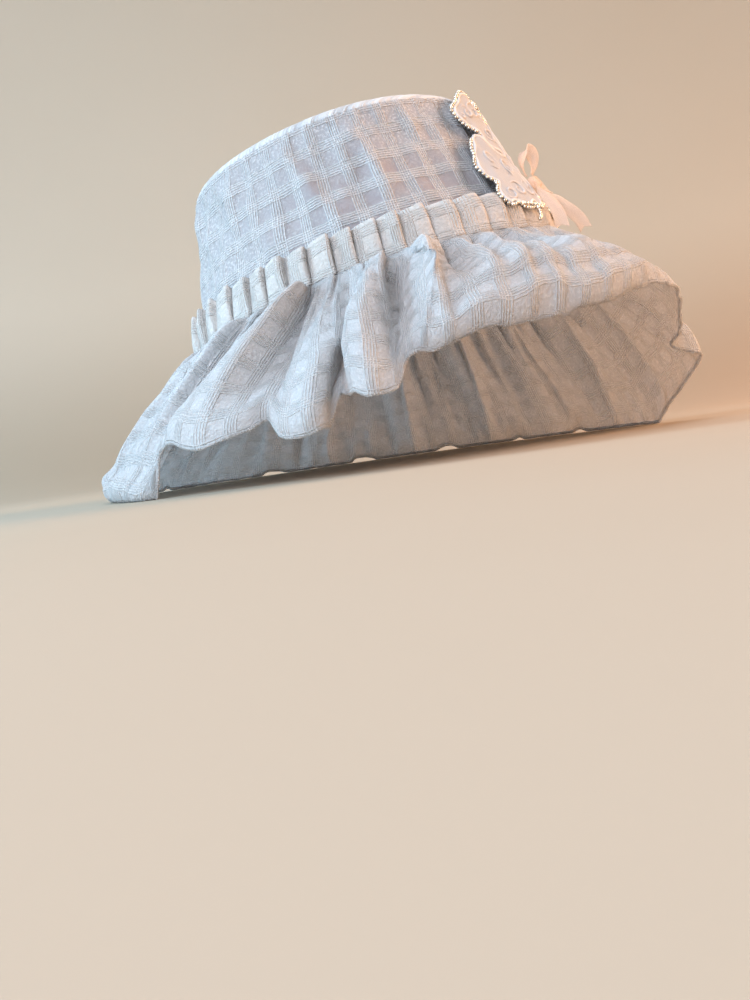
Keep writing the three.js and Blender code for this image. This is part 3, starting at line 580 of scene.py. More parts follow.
def crown_lining():
    columns = 192
    degrees = np.arange(columns) * 360.0 / columns
    wall_h = np.linspace(-2.5, 76, 40)
    top_h = np.array([78.5, 80.6, 82.0, 83.2, 83.8, 84.2, 84.4])
    top_r = np.array([71.0, 68.5, 65.0, 55.0, 40.0, 20.0, 0.6]) - LINING_INSET
    height = np.concatenate([wall_h, top_h])
    radius = np.concatenate([crown_radius(wall_h) - LINING_INSET, top_r])
    d, h = np.meshgrid(degrees, height, indexing="ij")
    share = np.clip(radius / 68, 0, 1)
    crease = 0.25 * np.sin(np.radians(d) * 31 + h / 6.0) * smooth((60 - h) / 40)
    points = oval_point(radius + crown_dent(d, np.minimum(h, 79)) * share - crease, d, h)
    u = np.concatenate([degrees, [360.0]]) / 9.0
    uv = grid_uv(u, run_length(np.stack([height, radius], -1)) / CHECK)
    piece = grid_mesh("crown_lining_cloth", points, uv, LINING, True, solid=0.5)
    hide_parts("crown_lining")


# Gathered heading

# A pleat's mean width and depth in mm, and the cloth hidden where two pleats meet, in checks
PLEAT_WIDTH = 11.2
PLEAT_DEPTH = 4.2
PLEAT_LAP = 0.21


def header_frill():
    """Box pleats, pinched at the stitch line, with a folded top edge."""
    steps = 16
    t = np.arange(steps) / steps
    place = [0, 0.06, 0.13, 0.21, 0.32, 0.5, 0.68, 0.79, 0.87, 0.94, 1]
    across = np.interp(t, place, [0, 0.03, 0.09, 0.17, 0.3, 0.51, 0.74, 0.88, 0.99, 1.05, 1])
    bulge = np.interp(t, place, [0, 0.14, 0.32, 0.48, 0.64, 0.84, 1.0, 1.06, 0.98, 0.5, 0])
    rows = np.array([
        (-1.0, 0), (0.6, 0), (2.2, 0), (4.4, 0), (7, 0), (10, 0), (13, 0), (15.6, 0), (17.4, 0),
        (18.3, 0.15), (18.7, 0.6), (18.4, 1.05), (17.2, 1.25), (13, 1.3), (7, 1.25), (2, 1.2),
    ], float)
    pleat = np.arange(PLEATS)
    wide = 0.75 + 0.5 * hashed(pleat, 3)
    deep = 0.8 + 0.5 * hashed(pleat, 5)
    rise = 2.6 * (hashed(pleat, 9) - 0.5)
    lean = 0.10 + 0.12 * hashed(pleat, 12)
    # Each row: height above the stitch line and how far inside the pleat's face
    h = rows[None, None, :, 0] + np.zeros((PLEATS, steps, 1))
    inward = rows[None, None, :, 1]
    up = np.clip(h / FRILL_HEIGHT, 0, 1.02)
    bulged = bulge[None, :, None]
    centred = across[None, :, None] - 0.5
    valley_width = 0.035 + 0.12 * up * wide[:, None, None]
    x = 0.5 + centred * (1 - valley_width) + lean[:, None, None] * up * bulged
    depth = (1.9 + 2.3 * smooth(up * 1.3)) * deep[:, None, None]
    belly = 0.5 * np.sin(np.pi * np.clip(up, 0, 1))
    stand = 1.55 + 0.5 * up
    out = stand + bulged * (depth + belly) - inward
    ripple = 0.25 * np.sin(7.1 * pleat[:, None, None] + 5 * up + 9 * x)
    valleys = np.concatenate([[VALLEYS[-2] - 360], VALLEYS, [VALLEYS[1] + 360]])
    degrees = np.interp(pleat[:, None, None] + x, np.arange(-1, PLEATS + 2), valleys)
    h = h + (rise[:, None, None] * bulged + 1.5 * bulged - 1.2) * smooth(up * 1.2 - 0.2)
    radius = crown_radius(h) + crown_dent(degrees, h) + out + ripple * bulged
    points = oval_point(radius, degrees, h).reshape(PLEATS * steps, len(rows), 3)
    section = np.stack([np.append(across, 1) * PLEAT_WIDTH, np.append(bulge, 0) * PLEAT_DEPTH], -1)
    around = run_length(section) / CHECK
    u = (pleat[:, None] * (around[-1] + PLEAT_LAP) + around[None, :-1]).ravel()
    u = np.append(u, u[-1] + 0.05)
    v = run_length(rows) / CHECK + 0.12
    piece = grid_mesh("header_frill_cloth", points, grid_uv(u, v), GAUZE_HEADING, True, solid=0.45)
    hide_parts("header_frill")


# Brim

def fold_table(degrees):
    """The fold table at directions of the stitch line, joined without overshoot between its rows."""
    count = len(BRIM_FOLDS)
    band = BRIM_FOLDS[:, 0]
    wrapped = band[0] + np.mod(np.asarray(degrees, float) - band[0], 360)
    index = np.searchsorted(band, wrapped, side="right") - 1
    picked = []
    for offset in (-1, 0, 1, 2):
        turn = np.floor_divide(index + offset, count)
        row = BRIM_FOLDS[np.mod(index + offset, count)].copy()
        row[:, 0] += 360 * turn
        row[:, 1] += 360 * turn
        picked.append(row)
    before, start, end, after = picked
    span = (end[:, 0] - start[:, 0])[:, None]
    t = ((wrapped - start[:, 0])[:, None]) / span

    def slope(a, b, c):
        first = (b - a) / (b[:, :1] - a[:, :1])
        second = (c - b) / (c[:, :1] - b[:, :1])
        both = first * second
        return np.where(both > 0, 2 * both / np.where(np.abs(first + second) < 1e-9, 1, first + second), 0)

    into, away = slope(before, start, end), slope(start, end, after)
    value = (start * (2 * t ** 3 - 3 * t ** 2 + 1) + end * (3 * t ** 2 - 2 * t ** 3)
             + into * span * (t ** 3 - 2 * t ** 2 + t) + away * span * (t ** 3 - t ** 2))
    return value, wrapped


# Single folds of the brim, read off the photo: widths left and right in mm, how far the crest leans
# over to the right, how flat its top is, then rows of station, direction at the stitch line and height in mm
FOLD_LINES = [
    (6.0, 2.6, 0.9, 2, [(0.02, -70.5, 0), (0.08, -70.5, 3), (0.3, -70.6, 4), (0.6, -71.0, 3.4),
        (0.9, -72, 0)]),
    (2.4, 4.0, 0.0, 2, [(0.02, -68.4, 0), (0.08, -68.4, -1.6), (0.4, -67.8, -2.4), (0.75, -66.8, -2.4),
        (1, -66.5, 0)]),
    (7.0, 2.6, 1.0, 2, [(0.02, -57.0, 0), (0.1, -56.6, 3), (0.25, -56.4, 4.4), (0.45, -58.4, 5),
        (0.65, -61.4, 5), (1, -61.8, 3)]),
    (2.2, 3.0, 0.0, 2, [(0.04, -54.0, 0), (0.15, -54.2, -2.4), (0.3, -54.8, -2.6), (0.5, -57.6, -2.6),
        (0.7, -60.2, -2.4), (1, -60.4, -1)]),
    (3.0, 3.0, 0.0, 2, [(0.03, -63.4, 0), (0.12, -63.8, -2.0), (0.35, -65.0, -2.2), (0.6, -66.0, -1)]),
    (6.0, 7.0, -0.5, 2.6, [(0.02, -50.6, 0), (0.1, -50.8, 3), (0.25, -51.4, 5), (0.5, -53.6, 6.4),
        (0.75, -55.4, 5), (1, -53.6, 3.4)]),
    (2.2, 3.0, 0.0, 2, [(0.05, -46.0, 0), (0.14, -46.2, -2), (0.3, -48.8, -2.4), (0.55, -50.0, -3),
        (0.8, -49.8, -2.4), (1, -49.4, -1.6)]),
    (6.0, 3.0, 0.8, 2, [(0.03, -45.5, 0), (0.1, -44.4, 4), (0.3, -42.0, 6), (0.5, -40.8, 6.5),
        (0.75, -42.0, 3), (1, -44, 0)]),
    (2.6, 5.0, 0.0, 2, [(0.05, -38.4, 0), (0.2, -37.4, -3.4), (0.5, -37.0, -5), (0.8, -36.6, -3),
        (1, -36.5, 0)]),
    (4.0, 2.8, 0.7, 2, [(0.02, -30.3, 0), (0.1, -29.8, 3.4), (0.3, -29.4, 4), (0.6, -30.6, 2.4),
        (0.85, -31, 0)]),
    (2.4, 3.0, 0.0, 2, [(0.02, -26.6, 0), (0.1, -26.4, -2.4), (0.35, -26.8, -3), (0.6, -28.0, -2),
        (0.8, -28.6, 0)]),
    (4.0, 2.8, 0.7, 2, [(0.02, -22.4, 0), (0.13, -22.0, 3.4), (0.45, -23.6, 3.8), (0.69, -25.4, 2),
        (0.9, -26, 0)]),
    (2.6, 3.2, 0.0, 2, [(0.02, -18.4, 0), (0.13, -18.2, -2.4), (0.45, -20.4, -2.6), (0.7, -22.6, -1.6),
        (0.9, -23, 0)]),
    (5.0, 7.0, 0.0, 2, [(0.02, -13.0, 0), (0.16, -13.6, -3.0), (0.4, -15.0, -3.4), (0.66, -17.6, -2),
        (0.9, -19, 0)]),
    (4.0, 3.0, 0.6, 2, [(0.02, -7.5, 0), (0.12, -7.5, 3.4), (0.4, -8.0, 3), (0.7, -9, 0)]),
    (3.0, 3.0, 0.0, 2, [(0.02, 0.0, 0), (0.12, 0.0, -2.6), (0.35, -1, -2.6), (0.6, -2, 0)]),
    (4.5, 3.5, 0.6, 2, [(0.02, 7.5, 0), (0.14, 7.5, 3), (0.4, 7.0, 2.6), (0.7, 6, 0)]),
    (4.0, 4.0, 0.0, 2, [(0.02, 15, 0), (0.14, 15, -2.6), (0.4, 14, -2.4), (0.7, 13, 0)]),
    (5.0, 3.0, 0.9, 2, [(0.03, -80.5, 0), (0.12, -80.5, 3), (0.5, -82, 4), (0.85, -84, 0)]),
    (3.0, 5.0, 0.0, 2, [(0.03, -76.8, 0), (0.15, -76.8, -2.6), (0.5, -77.6, -3.4), (0.85, -78, 0)]),
    (5.0, 3.0, 0.9, 2, [(0.03, -91, 0), (0.12, -91, 3.4), (0.4, -92.4, 3.4), (0.7, -95, 0)]),
    (3.0, 3.0, 0.0, 2, [(0.03, -87, 0), (0.12, -87, -2.6), (0.45, -88, -3), (0.75, -89, 0)]),
    (5.0, 3.0, 0.9, 2, [(0.03, -102, 0), (0.12, -102, 3.4), (0.4, -104, 3.4), (0.7, -106, 0)]),
    (3.0, 3.0, 0.0, 2, [(0.03, -97.6, 0), (0.12, -97.6, -2.6), (0.45, -98.6, -3), (0.75, -99, 0)]),
    (5.0, 3.0, 0.8, 2, [(0.3, 36, 0), (0.6, 36.5, 3), (0.85, 37, 3), (1, 37, 1)]),
    (4.0, 4.0, 0.0, 2, [(0.3, 43, 0), (0.6, 43, -3), (0.85, 44, -3), (1, 44, -1)]),
]


# The folds that the photo doesn't show: direction, drift towards the hem in degrees, height in mm
UNSEEN_FOLDS = [
    (52, 1.5, 3.6), (58, -1.0, -2.8), (66, 2.5, 4.0), (73, -1.0, -3.0), (84, -2.5, 3.4),
    (92, 1.5, -3.2), (101, 3.0, 4.2), (110, -1.5, -2.8), (122, 2.0, 3.6), (132, -2.0, -3.2),
    (143, 2.5, 4.2), (153, 1.0, -2.6), (165, -2.5, 3.8), (177, 2.0, -3.2), (-172, -2.0, 3.6),
    (-162, 2.0, -2.8), (-152, 1.5, 4.0), (-140, -2.0, -3.0), (-131, 2.0, 3.4), (-121, -1.5, -2.8),
    (-112, -2.0, 3.6),
]


def unseen_fold(direction, drift, height):
    """A fold from the stitch line to near the hem, as a row of FOLD_LINES."""
    left, right, lean = (5.0, 3.4, 0.7) if height > 0 else (3.4, 4.2, 0.0)
    far = direction + drift
    rows = [(0.03, direction, 0), (0.14, direction, 0.8 * height), (0.45, direction + drift / 2, height),
            (0.8, far, 0.7 * height), (1, far, 0.15 * height)]
    return left, right, lean, 2, rows


def fold_lines(wrapped, stations):
    """Height and sideways shift that the single folds add, columns by stations."""
    total = np.zeros((len(wrapped), len(stations)))
    slide = np.zeros_like(total)
    for left, right, lean, flat, rows in FOLD_LINES + [unseen_fold(*row) for row in UNSEEN_FOLDS]:
        station, direction, height = np.array(rows, float).T
        centre = np.interp(stations, station, direction)
        tall = np.interp(stations, station, height, left=0, right=height[-1])
        apart = np.mod(wrapped[:, None] - centre[None, :] + 180, 360) - 180
        across = np.radians(apart) * (95 + 62 * stations[None, :])
        width = np.where(across < 0, left, right)
        one = tall[None, :] * np.exp(-np.abs(across / width) ** flat)
        total += one
        slide += lean * one
    return total, slide


# How far the hem is turned under, 0 to 1, by direction of the stitch line
HEM_TURN = np.array([
    (-180, 0.3), (-142, 0.4), (-130, 0.85), (-104, 0.9), (-90, 0.6), (-80, 0.4), (-54, 0.38),
    (-44, 0.5), (-36, 0.85), (-26, 1.0), (-14, 1.0), (-4, 0.8), (4, 0.45), (12, 0.22), (34, 0.2),
    (62, 0.25), (100, 0.3),
], float)
ROLL_RADIUS = 4.3
ROLL_START = 0.875
# The stitch line's radius and how far the cloth starts below it
STITCH_RADIUS = 94.6
STITCH_HEIGHT = -1.4
# Makes t (1 - t) (1 - t) rise to 1 at its highest
CUBIC_PEAK = 27 / 4
# The brim cloth's lowest heights above the surface: as drawn, relaxed, and with its raised cords
DRAWN_LOWEST = 0.55
RELAXED_LOWEST = 0.6
CORDED_LOWEST = 0.5


def hem_roll(s, turned, turn, length):
    """How far out each station reaches where the hem is rolled under, and how far it stands off."""
    bend = turned / (ROLL_RADIUS + 0.9 * np.sin(13 * turn + 0.4) + 0.6 * np.sin(29 * turn))
    curl = bend * np.maximum(s - ROLL_START, 0) * length
    last_curl = bend * (1 - ROLL_START) * length
    furthest = np.where(last_curl < math.pi / 2, np.sin(last_curl), 1) / bend
    straight = np.minimum(s, ROLL_START) * (length - furthest) / (ROLL_START * length)
    reach = straight + np.sin(curl) / bend / length
    drop = (1 - np.cos(curl)) / bend
    swell = 3.4 * np.exp(-((s - 0.9) / 0.05) ** 2)
    hollow = 3.6 * np.exp(-((s - 0.775) / 0.055) ** 2)
    return reach, np.maximum(turned - 0.4, 0) * (swell - hollow) - drop


def gathers(wrapped, s, turn, fold):
    """Height and sideways shift of the gathers below the heading's tabs, and of the small wrinkles."""
    place = np.interp(VALLEYS[0] + np.mod(wrapped - VALLEYS[0], 360), VALLEYS, np.arange(PLEATS + 1))
    pleat = np.floor(place + 0.5)
    long = 0.16 + 0.36 * hashed(np.mod(pleat, PLEATS), 21)[:, None]
    part = (place - np.floor(place))[:, None]
    tab = np.interp(part, [0, 0.1, 0.3, 0.55, 0.8, 0.92, 1], [0, 0.3, 0.62, 0.88, 1.06, 0.8, 0])
    rise = (1 - np.exp(-np.maximum(s, 0) / 0.03)) * np.exp(-(s / long) ** 2)
    gather = (tab - 0.66) * 4.6 * rise
    gather = gather + 0.9 * np.sin(31 * turn + 2.0) * smooth(s / 0.12) * np.exp(-(s / 0.42) ** 2)
    shoulder = (1.4 + 0.22 * np.maximum(fold, 0))[:, None] * (s / 0.07) * np.exp(1 - np.maximum(s, 0) / 0.07)
    wrinkle = (0.50 * np.sin(67 * turn + 7 * s + 0.7) + 0.38 * np.sin(101 * turn - 9 * s + 2.1)
               + 0.30 * np.sin(149 * turn + 13 * s) + 0.35 * np.sin(23 * turn + 21 * s))
    wrinkle = wrinkle * smooth(s / 0.25) * (0.55 + 0.45 * np.sin(9 * turn + 5 * s))
    return gather + shoulder * 0.9 + wrinkle, 1.9 * tab ** 3 * rise


def brim_surface(degrees, stations):
    """Middle of the brim cloth, columns by stations, from just inside the stitch line, 0, to the hem, 1."""
    value, wrapped = fold_table(degrees)
    rim, radius, height, fold, roll = (value[:, c] for c in (1, 2, 3, 4, 5))
    s = stations[None, :]
    start = oval_point(STITCH_RADIUS, wrapped, STITCH_HEIGHT)
    rim_angle = np.radians(rim)
    turned = np.interp(wrapped, HEM_TURN[:, 0], HEM_TURN[:, 1], period=360)[:, None]
    height = np.maximum(height, -1.5) + 8.0 * np.maximum(turned[:, 0] - 0.25, 0)
    end = np.stack([radius * np.sin(rim_angle), -radius * np.cos(rim_angle), height], -1)
    along = end - start
    middle = (np.radians(wrapped) + rim_angle) / 2
    around = np.stack([np.cos(middle), np.sin(middle), 0 * middle], -1)
    out = np.cross(around, along)
    out /= np.linalg.norm(out, axis=-1, keepdims=True)
    out = np.where(out[:, 2:] < 0, -out, out)
    length = np.linalg.norm(along, axis=-1)[:, None]
    turn = np.radians(wrapped)[:, None]
    reach, stand = hem_roll(s, turned, turn, length)
    humps = fold[:, None] * CUBIC_PEAK * reach * (1 - reach) ** 2
    humps = humps + roll[:, None] * CUBIC_PEAK * reach ** 2 * (1 - reach)
    gather, aside = gathers(wrapped, s, turn, fold)
    single, slide = fold_lines(wrapped, stations)
    lift = humps + stand + gather + single
    points = start[:, None, :] + along[:, None, :] * reach[..., None] + out[:, None, :] * lift[..., None]
    points = points + around[:, None, :] * (slide + aside)[..., None]
    points[..., 2] = np.maximum(points[..., 2], DRAWN_LOWEST)
    return points


# Which points of the brim pull on each other: columns across, rows down, and how firmly
LINKS = ((1, 0, 0.5), (0, 1, 0.5), (1, 1, 0.2), (-1, 1, 0.2), (2, 0, 0.1), (0, 2, 0.1))
# Spare length of the brim's cloth around the hat: everywhere, and at the gathers, which end by a station
SPARE_LENGTH = 0.022
GATHERED_LENGTH = 0.13
GATHERED_TO = 0.32


def relax(target, stations, steps):
    """Lets the cloth, which is a little too long for its shape, buckle near it as gathered cloth does."""
    links = []
    slack = 1.0 + GATHERED_LENGTH * np.exp(-(np.maximum(stations, 0) / GATHERED_TO) ** 2) + SPARE_LENGTH
    for turn, down, share in LINKS:
        last = len(stations) - down
        ends = np.roll(target, -turn, 0)[:, down:]
        rest = np.linalg.norm(ends - target[:, :last], axis=-1)
        if turn:
            rest = rest * slack[None, :last]
        links.append((turn, down, last, rest, share))
    columns, rows = target.shape[:2]
    number = np.arange(columns)[:, None] + np.arange(rows)[None, :] * 7.3
    normal = normals_of(target, True)
    points = target + normal * (0.8 * (hashed(number, 41) - 0.5))[..., None]
    hold = 0.012 + 0.25 * np.exp(-np.maximum(stations, 0) / 0.02)
    for _ in range(steps):
        move = np.zeros_like(points)
        for turn, down, last, rest, share in links:
            gap = np.roll(points, -turn, 0)[:, down:] - points[:, :last]
            length = np.linalg.norm(gap, axis=-1)
            pull = gap * (0.5 * share * (length - rest) / np.maximum(length, 1e-6))[..., None]
            move[:, :last] += pull
            move[:, down:] -= np.roll(pull, turn, 0)
        points = points + 0.55 * move
        points += (target - points) * hold[None, :, None]
        points[..., 2] = np.maximum(points[..., 2], RELAXED_LOWEST)
    return points - target


def sampled(field, column, row):
    """A field on a grid that closes around its columns, read between its points."""
    i, k = np.floor(column).astype(int), np.clip(np.floor(row).astype(int), 0, field.shape[1] - 2)
    a, b = (column - i)[..., None], (row - k)[..., None]
    count = len(field)
    return ((field[i % count, k] * (1 - a) + field[(i + 1) % count, k] * a) * (1 - b)
            + (field[i % count, k + 1] * (1 - a) + field[(i + 1) % count, k + 1] * a) * b)


BRIM_WIDTH_CHECKS = 7.15
HEM_CHECKS = 0.16
RELAX_COLUMNS = 528
RELAX_ROWS = 44
RELAX_STEPS = 260
# The brim's length is measured along two lines around it: their stations and how much each counts
LENGTH_STATIONS = np.array([0.45, 0.8])
LENGTH_SHARES = np.array([0.35, 0.65])


def brim():
    """The ruffled brim, with columns and rows at the edges of its cords, and its hem."""
    fine = np.linspace(-176, 184, 2881)[:-1]
    line = brim_surface(fine, LENGTH_STATIONS)
    steps = np.linalg.norm(np.roll(line, -1, 0) - line, axis=-1)
    share = (steps * LENGTH_SHARES).sum(-1)
    total = np.concatenate([[0], np.cumsum(share)])
    checks = int(round(total[-1] / CHECK))
    u, relief_u = check_places(0.0, checks)
    u = np.concatenate([[0.0], u])
    relief_u = np.concatenate([[0.0], relief_u])
    closed = np.append(fine, fine[0] + 360)
    degrees = np.interp(u / checks * total[-1], total, closed)
    v, relief_v = check_places(0.0, BRIM_WIDTH_CHECKS - HEM_CHECKS)
    hem_v = BRIM_WIDTH_CHECKS - np.array([HEM_CHECKS, HEM_CHECKS / 2, 0])
    v = np.concatenate([[-0.25, 0.0], v, hem_v])
    relief_v = np.concatenate([[0.0, 0.0], relief_v, [0.6, 1.0, 1.0]])
    stations = v / BRIM_WIDTH_CHECKS
    points = brim_surface(degrees, stations)
    even = np.linspace(0, total[-1], RELAX_COLUMNS + 1)[:-1]
    coarse_deg = np.interp(even, total, closed)
    coarse_st = np.linspace(stations[0], 1, RELAX_ROWS)
    shift = relax(brim_surface(coarse_deg, coarse_st), coarse_st, RELAX_STEPS)
    column = np.broadcast_to((u / checks * RELAX_COLUMNS)[:, None], points.shape[:2])
    coarse_row = (stations - coarse_st[0]) / (1 - coarse_st[0]) * (RELAX_ROWS - 1)
    row = np.broadcast_to(coarse_row[None, :], points.shape[:2])
    points = points + sampled(shift, column, row)
    normal = normals_of(points, True)
    normal *= np.sign(normal[..., 2:].mean())
    relief = np.maximum(relief_u[:, None], relief_v[None, :]) * RELIEF_MM
    points = points + normal * relief[..., None]
    points[..., 2] = np.maximum(points[..., 2], CORDED_LOWEST)
    wrapped = np.concatenate([u, [float(checks)]])
    piece = grid_mesh("brim_cloth", points, grid_uv(wrapped, v), GAUZE_BRIM, True, solid=0.7)
    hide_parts("brim")
    hem = brim_hem(points[:, -1])


def tube(name, path, radius, sides, material, closed):
    """A round cord along a path of points."""
    tangent = np.roll(path, -1, 0) - np.roll(path, 1, 0) if closed else np.gradient(path, axis=0)
    tangent /= np.linalg.norm(tangent, axis=-1, keepdims=True)
    up = np.array([0.0, 0.0, 1.0])
    right = np.cross(tangent, up)
    right /= np.maximum(np.linalg.norm(right, axis=-1, keepdims=True), 1e-6)
    top = np.cross(right, tangent)
    angle = ring_angles(sides)
    ring = right[:, None] * np.cos(angle)[None, :, None] + top[:, None] * np.sin(angle)[None, :, None]
    radius = np.broadcast_to(np.asarray(radius, float), (len(path),))
    points = path[:, None] + ring * radius[:, None, None]
    length = run_length(path)
    if closed:
        length = np.append(length, length[-1] + np.linalg.norm(path[0] - path[-1]))
    uv = grid_uv(length / CHECK, np.linspace(0, 0.3, sides + 1))
    return grid_mesh(name, points, uv, material, closed, close_rows=True)


def brim_hem(edge):
    """The narrow rolled edge that finishes the brim."""
    path = edge.copy()
    radius = 0.85 + 0.12 * np.sin(np.arange(len(path)) * 0.9)
    path[:, 2] = np.maximum(path[:, 2], 1.0)
    return tube("brim_hem", path, radius, 8, GAUZE_BRIM, True)


# Applique

def panel_stand(height):
    t = smooth((np.asarray(height) - 20) / 24)
    return 7.2 + (6.0 - 7.2) * t


def applique_point(x, y, lift):
    """A point of the applique: x across, y up the crown's slope, lift out of its panels."""
    height = APPLIQUE_HEIGHT + np.asarray(y) * math.cos(CROWN_SLOPE)
    cup = 0.8 * (np.asarray(x) / 45.0) ** 2
    radius = crown_radius(height) + panel_stand(height) + cup + lift
    degrees = APPLIQUE_DEG + np.degrees(np.asarray(x) / radius)
    return oval_point(radius, degrees, height)


def knot_gap(a, b):
    return math.sqrt(max(np.linalg.norm(b - a), 1e-6))


def spline(points, count, closed):
    """A centripetal curve through points, at count places equally far apart."""
    points = np.asarray(points, float)
    if closed:
        padded = np.concatenate([points[-1:], points, points[:2]])
    else:
        padded = np.concatenate([2 * points[:1] - points[1:2], points, 2 * points[-1:] - points[-2:-1]])
    out = []
    for p0, p1, p2, p3 in zip(padded, padded[1:], padded[2:], padded[3:]):
        t0, t1 = 0.0, knot_gap(p0, p1)
        t2 = t1 + knot_gap(p1, p2)
        t3 = t2 + knot_gap(p2, p3)
        t = np.linspace(t1, t2, 24, endpoint=False)[:, None]
        a1 = (t1 - t) / (t1 - t0) * p0 + (t - t0) / (t1 - t0) * p1
        a2 = (t2 - t) / (t2 - t1) * p1 + (t - t1) / (t2 - t1) * p2
        a3 = (t3 - t) / (t3 - t2) * p2 + (t - t2) / (t3 - t2) * p3
        b1 = (t2 - t) / (t2 - t0) * a1 + (t - t0) / (t2 - t0) * a2
        b2 = (t3 - t) / (t3 - t1) * a2 + (t - t1) / (t3 - t1) * a3
        out.append((t2 - t) / (t2 - t1) * b1 + (t - t1) / (t2 - t1) * b2)
    curve = np.concatenate(out + [points[:1] if closed else points[-1:]])
    length = run_length(curve)
    wanted = np.linspace(0, length[-1], count, endpoint=not closed)
    return np.stack([np.interp(wanted, length, curve[:, c]) for c in range(points.shape[1])], -1)


# How far a panel's rings shrink towards its middle
PANEL_CLOSES = 0.997


def panel_ripple(x, y):
    return 0.45 * np.sin(x * 0.5 + 1.2 * np.sin(y * 0.23))


def panel(name, table, side):
    columns, rings = 180, 12
    edge = spline(table * (side, 1), columns, True)
    centre = edge.mean(0)
    share = 1 - PANEL_CLOSES * np.linspace(0, 1, rings) ** 1.2
    flat = centre + (edge - centre)[:, None, :] * share[None, :, None]
    x, y = flat[..., 0], flat[..., 1]
    ripple = panel_ripple(x, y) * smooth((share - 0.2) / 0.6)[None, :]
    points = applique_point(x, y, ripple)
    uv = flat / CHECK
    uv = np.concatenate([uv, uv[:1]], 0)
    piece = grid_mesh(name + "_panel", points, uv, ORGANZA, True, solid=0.6)
    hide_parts(name)
    rim = applique_point(*edge.T, panel_ripple(*edge.T))
    tube(name + "_border", rim, 0.8, 8, WHITE_FLOSS, True)


def join_meshes(name, parts, material):
    """One piece from several (points, faces) lists; points in millimetres."""
    points, faces, start = [], [], 0
    for part_points, part_faces in parts:
        points.append(part_points)
        faces.extend([[start + n for n in face] for face in part_faces])
        start += len(part_points)
    return finish_piece(name, plain_mesh(name, np.concatenate(points), faces), material)


def sphere(radius, rings=6, sides=10):
    """Points and faces of a ball."""
    points = [(0, 0, radius)]
    for ring in range(1, rings):
        polar = math.pi * ring / rings
        for side in range(sides):
            turn = 2 * math.pi * side / sides
            wide = radius * math.sin(polar)
            points.append((wide * math.cos(turn), wide * math.sin(turn), radius * math.cos(polar)))
    points.append((0, 0, -radius))
    faces = [[0, 1 + side, 1 + (side + 1) % sides] for side in range(sides)]
    for ring in range(rings - 2):
        first = 1 + ring * sides
        for side in range(sides):
            across = (side + 1) % sides
            faces.append([first + side, first + sides + side, first + sides + across, first + across])
    last = len(points) - 1
    first = 1 + (rings - 2) * sides
    faces += [[last, first + (side + 1) % sides, first + side] for side in range(sides)]
    return np.array(points), faces


# The loose strand that hangs from the near lower panel: direction, height and lift out of the crown
STRAND = np.array([
    (-1.5, 11.4, 8.2), (1, 11.2, 8.4), (3.4, 11.3, 8.6), (5.4, 10.2, 8.8), (6, 8.2, 8.8), (5, 6, 8.8),
    (3.6, 4, 9), (2, 2.2, 9.4), (0.6, 0.9, 9.8),
], float)


STRAND_BEADS = 13
# Brings a strand's degrees to about the scale of its heights
MM_PER_DEGREE = 1.6
OUTLINE_STEPS = 720
# How far outside the panel's edge the beads run, and how far apart
BEADS_OUT = 1.75
BEAD_PITCH = 2.05


def bead_edge(name, table, side, start, end):
    """Seed beads along a panel's free edge, from a start to an end share of its outline."""
    outline = spline(table * (side, 1), OUTLINE_STEPS, True)
    centre = outline.mean(0)
    tangent = np.roll(outline, -1, 0) - np.roll(outline, 1, 0)
    away = np.stack([tangent[:, 1], -tangent[:, 0]], -1)
    away /= np.linalg.norm(away, axis=-1, keepdims=True)
    away *= np.sign(((outline - centre) * away).sum(-1, keepdims=True))
    first, last = int(start * OUTLINE_STEPS), int(end * OUTLINE_STEPS)
    route = (outline + away * BEADS_OUT)[first:last]
    length = run_length(route)
    count = int(length[-1] / BEAD_PITCH)
    wanted = np.linspace(0, length[-1], count)
    flat = np.stack([np.interp(wanted, length, route[:, c]) for c in (0, 1)], -1)
    size = 0.78 + 0.26 * hashed(np.arange(count), 31)
    lift = 0.5 * (hashed(np.arange(count), 33) - 0.4)
    places = applique_point(flat[:, 0], flat[:, 1], lift)
    if name == "beads_lower_near":
        line = spline(STRAND * (MM_PER_DEGREE, 1, 1), STRAND_BEADS, False)
        hanging = oval_point(crown_radius(line[:, 1]) + line[:, 2], line[:, 0] / MM_PER_DEGREE, line[:, 1])
        places = np.concatenate([places, hanging])
        size = np.concatenate([size, 0.8 + 0.2 * hashed(np.arange(STRAND_BEADS), 37)])
    ball, faces = sphere(1.0)
    parts = [(ball * s + p, faces) for s, p in zip(size, places)]
    piece = join_meshes(name + "_beads", parts, BEADS)
    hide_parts(name)


def scroll(centre, size, turns, start, lean):
    """A flat spiral with a tail, in the panel's plane."""
    t = np.linspace(0, 1, 60)
    radius = size * (0.12 + 0.88 * t)
    angle = start + lean * turns * 2 * math.pi * t
    return np.stack([centre[0] + radius * np.cos(angle), centre[1] + radius * np.sin(angle)], -1)


# Embroidered scrolls: centre across and up, size, turns, start angle, way round
UPPER_SCROLLS = [
    ((12.5, 27), 6.0, 1.4, 0.5, 1),
    ((22, 24.5), 4.2, 1.3, 2.6, -1),
    ((11, 13), 5.4, 1.4, 4.0, 1),
    ((27.5, 22.5), 2.8, 1.1, 0.0, 1),
]
LOWER_SCROLLS = [
    ((16, -9), 7.0, 1.4, 1.0, -1),
    ((30, -5), 7.0, 1.4, 3.0, 1),
    ((37, -27), 4.6, 1.3, 5.0, 1),
    ((26, -24), 5.6, 1.4, 2.0, -1),
    ((12, -22), 5.4, 1.3, 0.0, 1),
]


